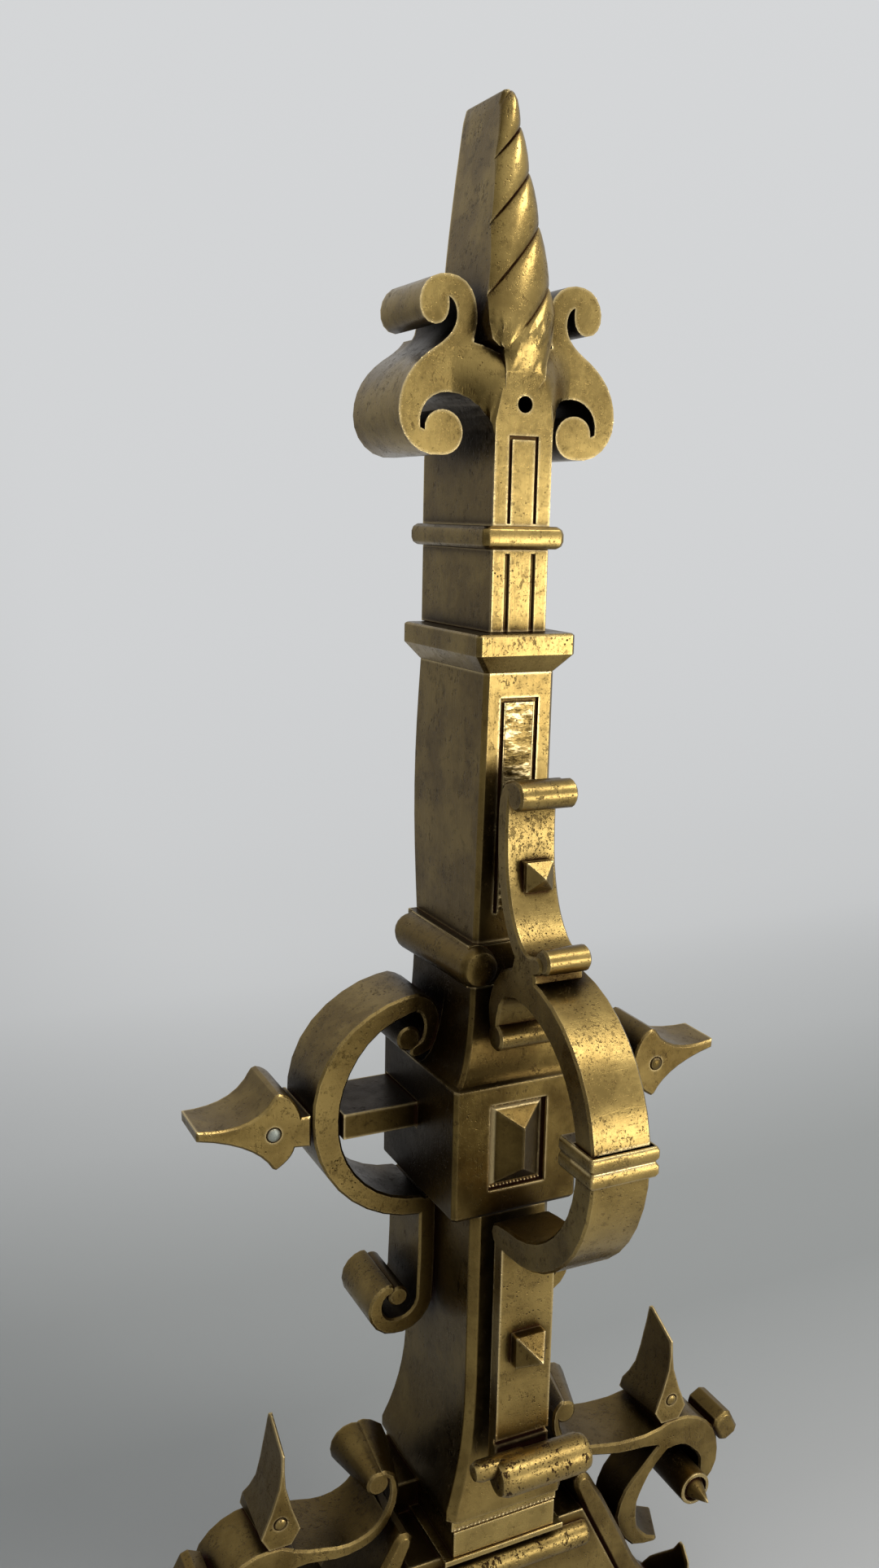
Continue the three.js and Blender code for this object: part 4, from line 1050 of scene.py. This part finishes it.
# ---------------------------------------------------------------- sub-assemblies


def pair(name: str, finish: BrassFinish, slot: str, **sizes: float) -> list[Casting]:
    """Lists the castings of a right-hand piece and its left-hand twin.

    Args:
        name: Name of the nodes without their side.
        finish: Finish of both.
        slot: Material slot of both; the castings keep it but nothing uses it.
        **sizes: Sizes of the castings that differ from the usual ones.

    Returns:
        The right one, then the left one.
    """
    return [Casting(f"{name}_{side}", finish, slot, **sizes) for side in ("right", "left")]


@dataclass
class SubAssembly:
    """A group of castings that are made together."""

    castings: list[Casting] = field(default_factory=list)

    def build(self, frame: dict[str, Any], workshop: Workshop) -> list[bpy.types.Object]:
        """Dresses every casting of the group."""
        return [casting.dress(frame, workshop) for casting in self.castings]


class Stack(SubAssembly):
    """The shaft: base, shafts, block, collars and finial."""

    def __init__(self) -> None:
        """Lists the castings from the floor up."""
        super().__init__(
            [
                Casting("base_body", AGED, "aged_brass"),
                Casting("bead_slab", BRIGHT, "aged_brass"),
                Casting("plinth_band", BRIGHT, "polished_brass"),
                Casting("plinth_fillet", BRIGHT, "polished_brass"),
                Casting("base_torus", PITTED, "polished_brass"),
                Casting("lower_shaft", SMOOTHED, "aged_brass", edge=0.6 * MM),
                Casting("centre_block", SHADED, "aged_brass", edge=0.7 * MM),
                JewelCasting("jewel", SHADED, "polished_brass", edge=0.35 * MM),
                Casting("cushion_moulding", AGED, "aged_brass"),
                Casting("upper_shaft", HATCHED, "polished_brass"),
                Casting("lower_collar", RUBBED, "polished_brass", edge=0.8 * MM),
                Casting("neck", RUBBED, "polished_brass"),
                Casting("upper_collar", RUBBED, "polished_brass"),
                HornCasting("finial", RUBBED, "polished_brass"),
            ]
        )


class Strapwork(SubAssembly):
    """The front strap with its ring, clip, studs and roll, and the side rings with their bar."""

    def __init__(self) -> None:
        """Lists the pieces from front to side."""
        super().__init__(
            [
                Casting("front_strap", STRAPWORK, "polished_brass"),
                Casting("ring_clip", RUBBED, "polished_brass"),
                Casting("stud_upper", AGED, "aged_brass"),
                Casting("stud_lower", AGED, "aged_brass"),
                Casting("foot_roll", PITTED, "polished_brass"),
                Casting("cross_bar", SHADED, "shadowed_brass"),
                *pair("side_ring", STRAPWORK, "aged_brass"),
                *pair("arrowhead", AGED, "aged_brass"),
                Casting("arrow_rivet_right", SHADED, "aged_brass", edge=0.0),
                Casting("arrow_rivet_left", RIVET, "rivet_metal", edge=0.0),
            ]
        )

    def build(self, frame: dict[str, Any], workshop: Workshop) -> list[bpy.types.Object]:
        """Dresses the strapwork and sets the punched beads round it."""
        return super().build(frame, workshop) + [row.build(workshop) for row in BEAD_ROWS]


class Legs(SubAssembly):
    """The legs with their brackets, fins, eyes and lugs."""

    def __init__(self) -> None:
        """Lists the pieces of both sides."""
        super().__init__(
            [
                *pair("leg", AGED, "aged_brass"),
                *pair("bracket", AGED, "shadowed_brass"),
                *pair("fin", ROUGH, "shadowed_brass"),
                *pair("fin_rivet", AGED, "aged_brass", edge=0.0),
                *pair("eye_pin", ROUGH, "shadowed_brass", edge=0.0),
                *pair("lug", AGED, "shadowed_brass"),
            ]
        )


class TieRod(SubAssembly):
    """The iron rod with its washer and nut."""

    def __init__(self) -> None:
        """Lists the fasteners."""
        super().__init__(
            [
                Casting("tie_rod", IRON, "iron", edge=0.0),
                Casting("tie_rod_washer", IRON, "iron", edge=0.3 * MM),
                Casting("tie_rod_nut", IRON, "iron", edge=0.3 * MM),
            ]
        )


# ---------------------------------------------------------------- stage, light and camera


@dataclass(frozen=True)
class Lamp:
    """A square soft lamp that looks at a point."""

    name: str
    place: Point
    aim: Point
    size: float
    power: float
    colour: Colour

    def build(self) -> None:
        """Hangs the lamp."""
        lamp = bpy.data.lights.new(self.name, "AREA")
        lamp.shape = "SQUARE"
        lamp.size = self.size
        lamp.energy = self.power
        lamp.color = self.colour
        hung = bpy.data.objects.new(self.name, lamp)
        hung.location = self.place
        way = Vector(self.aim) - Vector(self.place)
        hung.rotation_euler = way.to_track_quat("-Z", "Y").to_euler()
        bpy.context.scene.collection.objects.link(hung)


@dataclass(frozen=True)
class Sweep:
    """Pale floor that bends up into a wall; painted shade darkens its tone behind the object and
    to the left.
    """

    floor_half: float = 3.0
    wall_y: float = 2.4
    wall_height: float = 4.0
    bend: float = 0.8
    bend_segments: int = 16
    depth_start: float = -1.0
    depth_floor: float = 0.2
    depth_wall: float = 0.13
    # Painted shade: a dark band on the floor just behind the object, pale again towards the wall
    # and in front.
    tones: tuple[tuple[float, Colour], ...] = (
        (0.0, (0.64, 0.64, 0.635)),
        (0.15, (0.62, 0.62, 0.615)),
        (0.215, (0.38, 0.385, 0.38)),
        (0.25, (0.31, 0.32, 0.315)),
        (0.28, (0.34, 0.35, 0.345)),
        (0.33, (0.47, 0.48, 0.48)),
        (0.40, (0.57, 0.58, 0.585)),
        (0.68, (0.63, 0.64, 0.65)),
        (1.0, (0.68, 0.69, 0.70)),
    )
    # Painted shade: darker towards the left, less so higher up.
    shade_tone: Colour = (0.10, 0.105, 0.105)
    shade_x: tuple[float, float] = (0.25, -0.75)
    shade_z: tuple[float, float] = (0.0, 1.5)
    shade_above: float = 0.7
    shade_share: float = 0.5
    plain_y: tuple[float, float] = (0.3, 1.2)
    roughness: float = 0.85

    def build(self) -> None:
        """Lays the floor, bends it up and raises the wall."""
        work = bmesh.new()
        reach = self.floor_half
        bmesh.ops.create_grid(work, x_segments=1, y_segments=1, size=reach)
        back = [e for e in work.edges if all(v.co.y > 0 for v in e.verts)]
        bmesh.ops.translate(work, verts=back[0].verts, vec=(0, self.wall_y - reach, 0))
        raised = bmesh.ops.extrude_edge_only(work, edges=back)
        top = [v for v in raised["geom"] if isinstance(v, bmesh.types.BMVert)]
        bmesh.ops.translate(work, verts=top, vec=(0, 0, self.wall_height))
        bmesh.ops.bevel(
            work,
            geom=[e for e in work.edges if e.is_manifold],
            offset=self.bend,
            segments=self.bend_segments,
            profile=0.5,
            affect="EDGES",
            clamp_overlap=True,
            material=-1,
        )
        for face in work.faces:
            face.smooth = True
        mesh = bpy.data.meshes.new("sweep")
        work.to_mesh(mesh)
        work.free()
        mesh.materials.append(self._material())
        floor = bpy.data.objects.new("sweep", mesh)
        bpy.context.scene.collection.objects.link(floor)

    def _material(self) -> bpy.types.Material:
        """Makes the sweep's paint; at the back, the camera and mirrors see its tone as a glow,
        painted shade and all.

        Returns:
            The material.
        """
        material = bpy.data.materials.new("pale_sweep")
        material.use_nodes = True
        g = Graph(material.node_tree)
        x, y, z = g.axes(g.add("ShaderNodeTexCoord", output="Object"))
        depth = (y - self.depth_start) * self.depth_floor + z * self.depth_wall
        tone = g.add("ShaderNodeValToRGB", {"stops": self.tones}, {"Fac": depth})
        above = 1 - z.between(*self.shade_z) * self.shade_above
        tone = g.mix(x.between(*self.shade_x) * above * self.shade_share, tone, self.shade_tone)
        lit = g.node(
            "ShaderNodeBsdfPrincipled", None, {"Base Color": tone, "Roughness": self.roughness}
        )
        # Painted light: the back of the sweep glows with its own tone for the camera and for
        # reflections in the metal.
        plain = g.node("ShaderNodeEmission", None, {"Color": tone, "Strength": 1.0})
        path = g.node("ShaderNodeLightPath")
        seen = Map(g, path.outputs["Is Camera Ray"]) + Map(g, path.outputs["Is Glossy Ray"])
        seen = (seen + Map(g, path.outputs["Is Transmission Ray"])).clamped()
        share = seen * y.between(*self.plain_y)
        shader = g.node(
            "ShaderNodeMixShader", None, {0: share, 1: lit.outputs[0], 2: plain.outputs[0]}
        )
        g.node("ShaderNodeOutputMaterial", None, {"Surface": shader.outputs[0]})
        return material


@dataclass(frozen=True)
class Room:
    """A grey room that is brighter to the right and above than to the left and below."""

    bright_side: Point = (0.38, -0.32, 0.86)
    tones: tuple[tuple[float, Colour], ...] = (
        (0.0, (0.10, 0.10, 0.10)),
        (0.5, (0.20, 0.20, 0.20)),
        (1.0, (0.98, 0.99, 1.0)),
    )
    strength: float = 1.15
    backdrop: Colour = (0.62, 0.63, 0.64)

    def build(self) -> None:
        """Makes the world; the camera sees the plain backdrop in it."""
        world = bpy.data.worlds.new("room")
        bpy.context.scene.world = world
        world.use_nodes = True
        g = Graph(world.node_tree)
        way = g.add("ShaderNodeTexCoord", output="Generated")
        towards = g.along(way, Vector(self.bright_side).normalized())
        light = g.add("ShaderNodeValToRGB", {"stops": self.tones}, {"Fac": towards * 0.5 + 0.5})
        lit = g.node("ShaderNodeBackground", None, {"Color": light, "Strength": self.strength})
        plain = g.node(
            "ShaderNodeBackground", None, {"Color": (*self.backdrop, 1.0), "Strength": 1.0}
        )
        seen = g.node("ShaderNodeLightPath").outputs["Is Camera Ray"]
        shown = g.node(
            "ShaderNodeMixShader", None, {0: seen, 1: lit.outputs[0], 2: plain.outputs[0]}
        )
        g.node("ShaderNodeOutputWorld", None, {"Surface": shown.outputs[0]})


LAMPS = (
    Lamp("low_window", (0.85, -1.25, 0.27), (0.0, 0.0, 0.36), 0.5, 5.6, (1.0, 0.98, 0.94)),
    Lamp("overhead", (0.62, -0.80, 1.75), (0.0, 0.0, 0.2), 0.55, 9.0, (1.0, 0.98, 0.95)),
)


class Studio:
    """Pale sweep, the room's light and two soft lamps around the object."""

    def build(self) -> None:
        """Builds the sweep, the world and the lamps."""
        for part in (Sweep(), Room(), *LAMPS):
            part.build()


@dataclass(frozen=True)
class Camera:
    """Camera at the photograph's place: its focal length, position and turn."""

    lens: float = 31.13
    sensor: float = 36.0
    near: float = 0.01
    place: Point = (-0.2614, -0.4527, 0.5457)
    azimuth: float = -26.1
    pitch: float = -11.3
    roll: float = 1.2

    def build(self) -> bpy.types.Object:
        """Makes the scene's camera.

        Returns:
            The camera.
        """
        data = bpy.data.cameras.new("camera")
        data.sensor_width = self.sensor
        data.sensor_fit = "AUTO"
        data.lens = self.lens
        data.clip_start = self.near
        camera = bpy.data.objects.new("camera", data)
        turn, tilt, lean = (math.radians(v) for v in (self.azimuth, self.pitch, self.roll))
        ahead = Vector(
            (-math.sin(turn) * math.cos(tilt), math.cos(turn) * math.cos(tilt), math.sin(tilt))
        )
        side = Vector((math.cos(turn), math.sin(turn), 0.0))
        up = side.cross(ahead)
        right = side * math.cos(lean) + up * math.sin(lean)
        above = up * math.cos(lean) - side * math.sin(lean)
        turned = Matrix((right, above, -ahead)).transposed().to_4x4()
        camera.matrix_world = Matrix.Translation(self.place) @ turned
        bpy.context.scene.collection.objects.link(camera)
        bpy.context.scene.camera = camera
        return camera


# ---------------------------------------------------------------- main


def main() -> None:
    """Builds the dressed andiron and its studio."""
    logging.basicConfig(level=logging.INFO, format="%(name)s: %(message)s")
    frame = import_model()
    workshop = Workshop()
    Camera().build()
    for assembly in (Stack(), Strapwork(), Legs(), TieRod()):
        pieces = assembly.build(frame, workshop)
        LOG.info("%s: %d pieces", type(assembly).__name__, len(pieces))
    Studio().build()
    bpy.context.scene.view_settings.view_transform = "Standard"


if __name__ == "__main__":
    main()
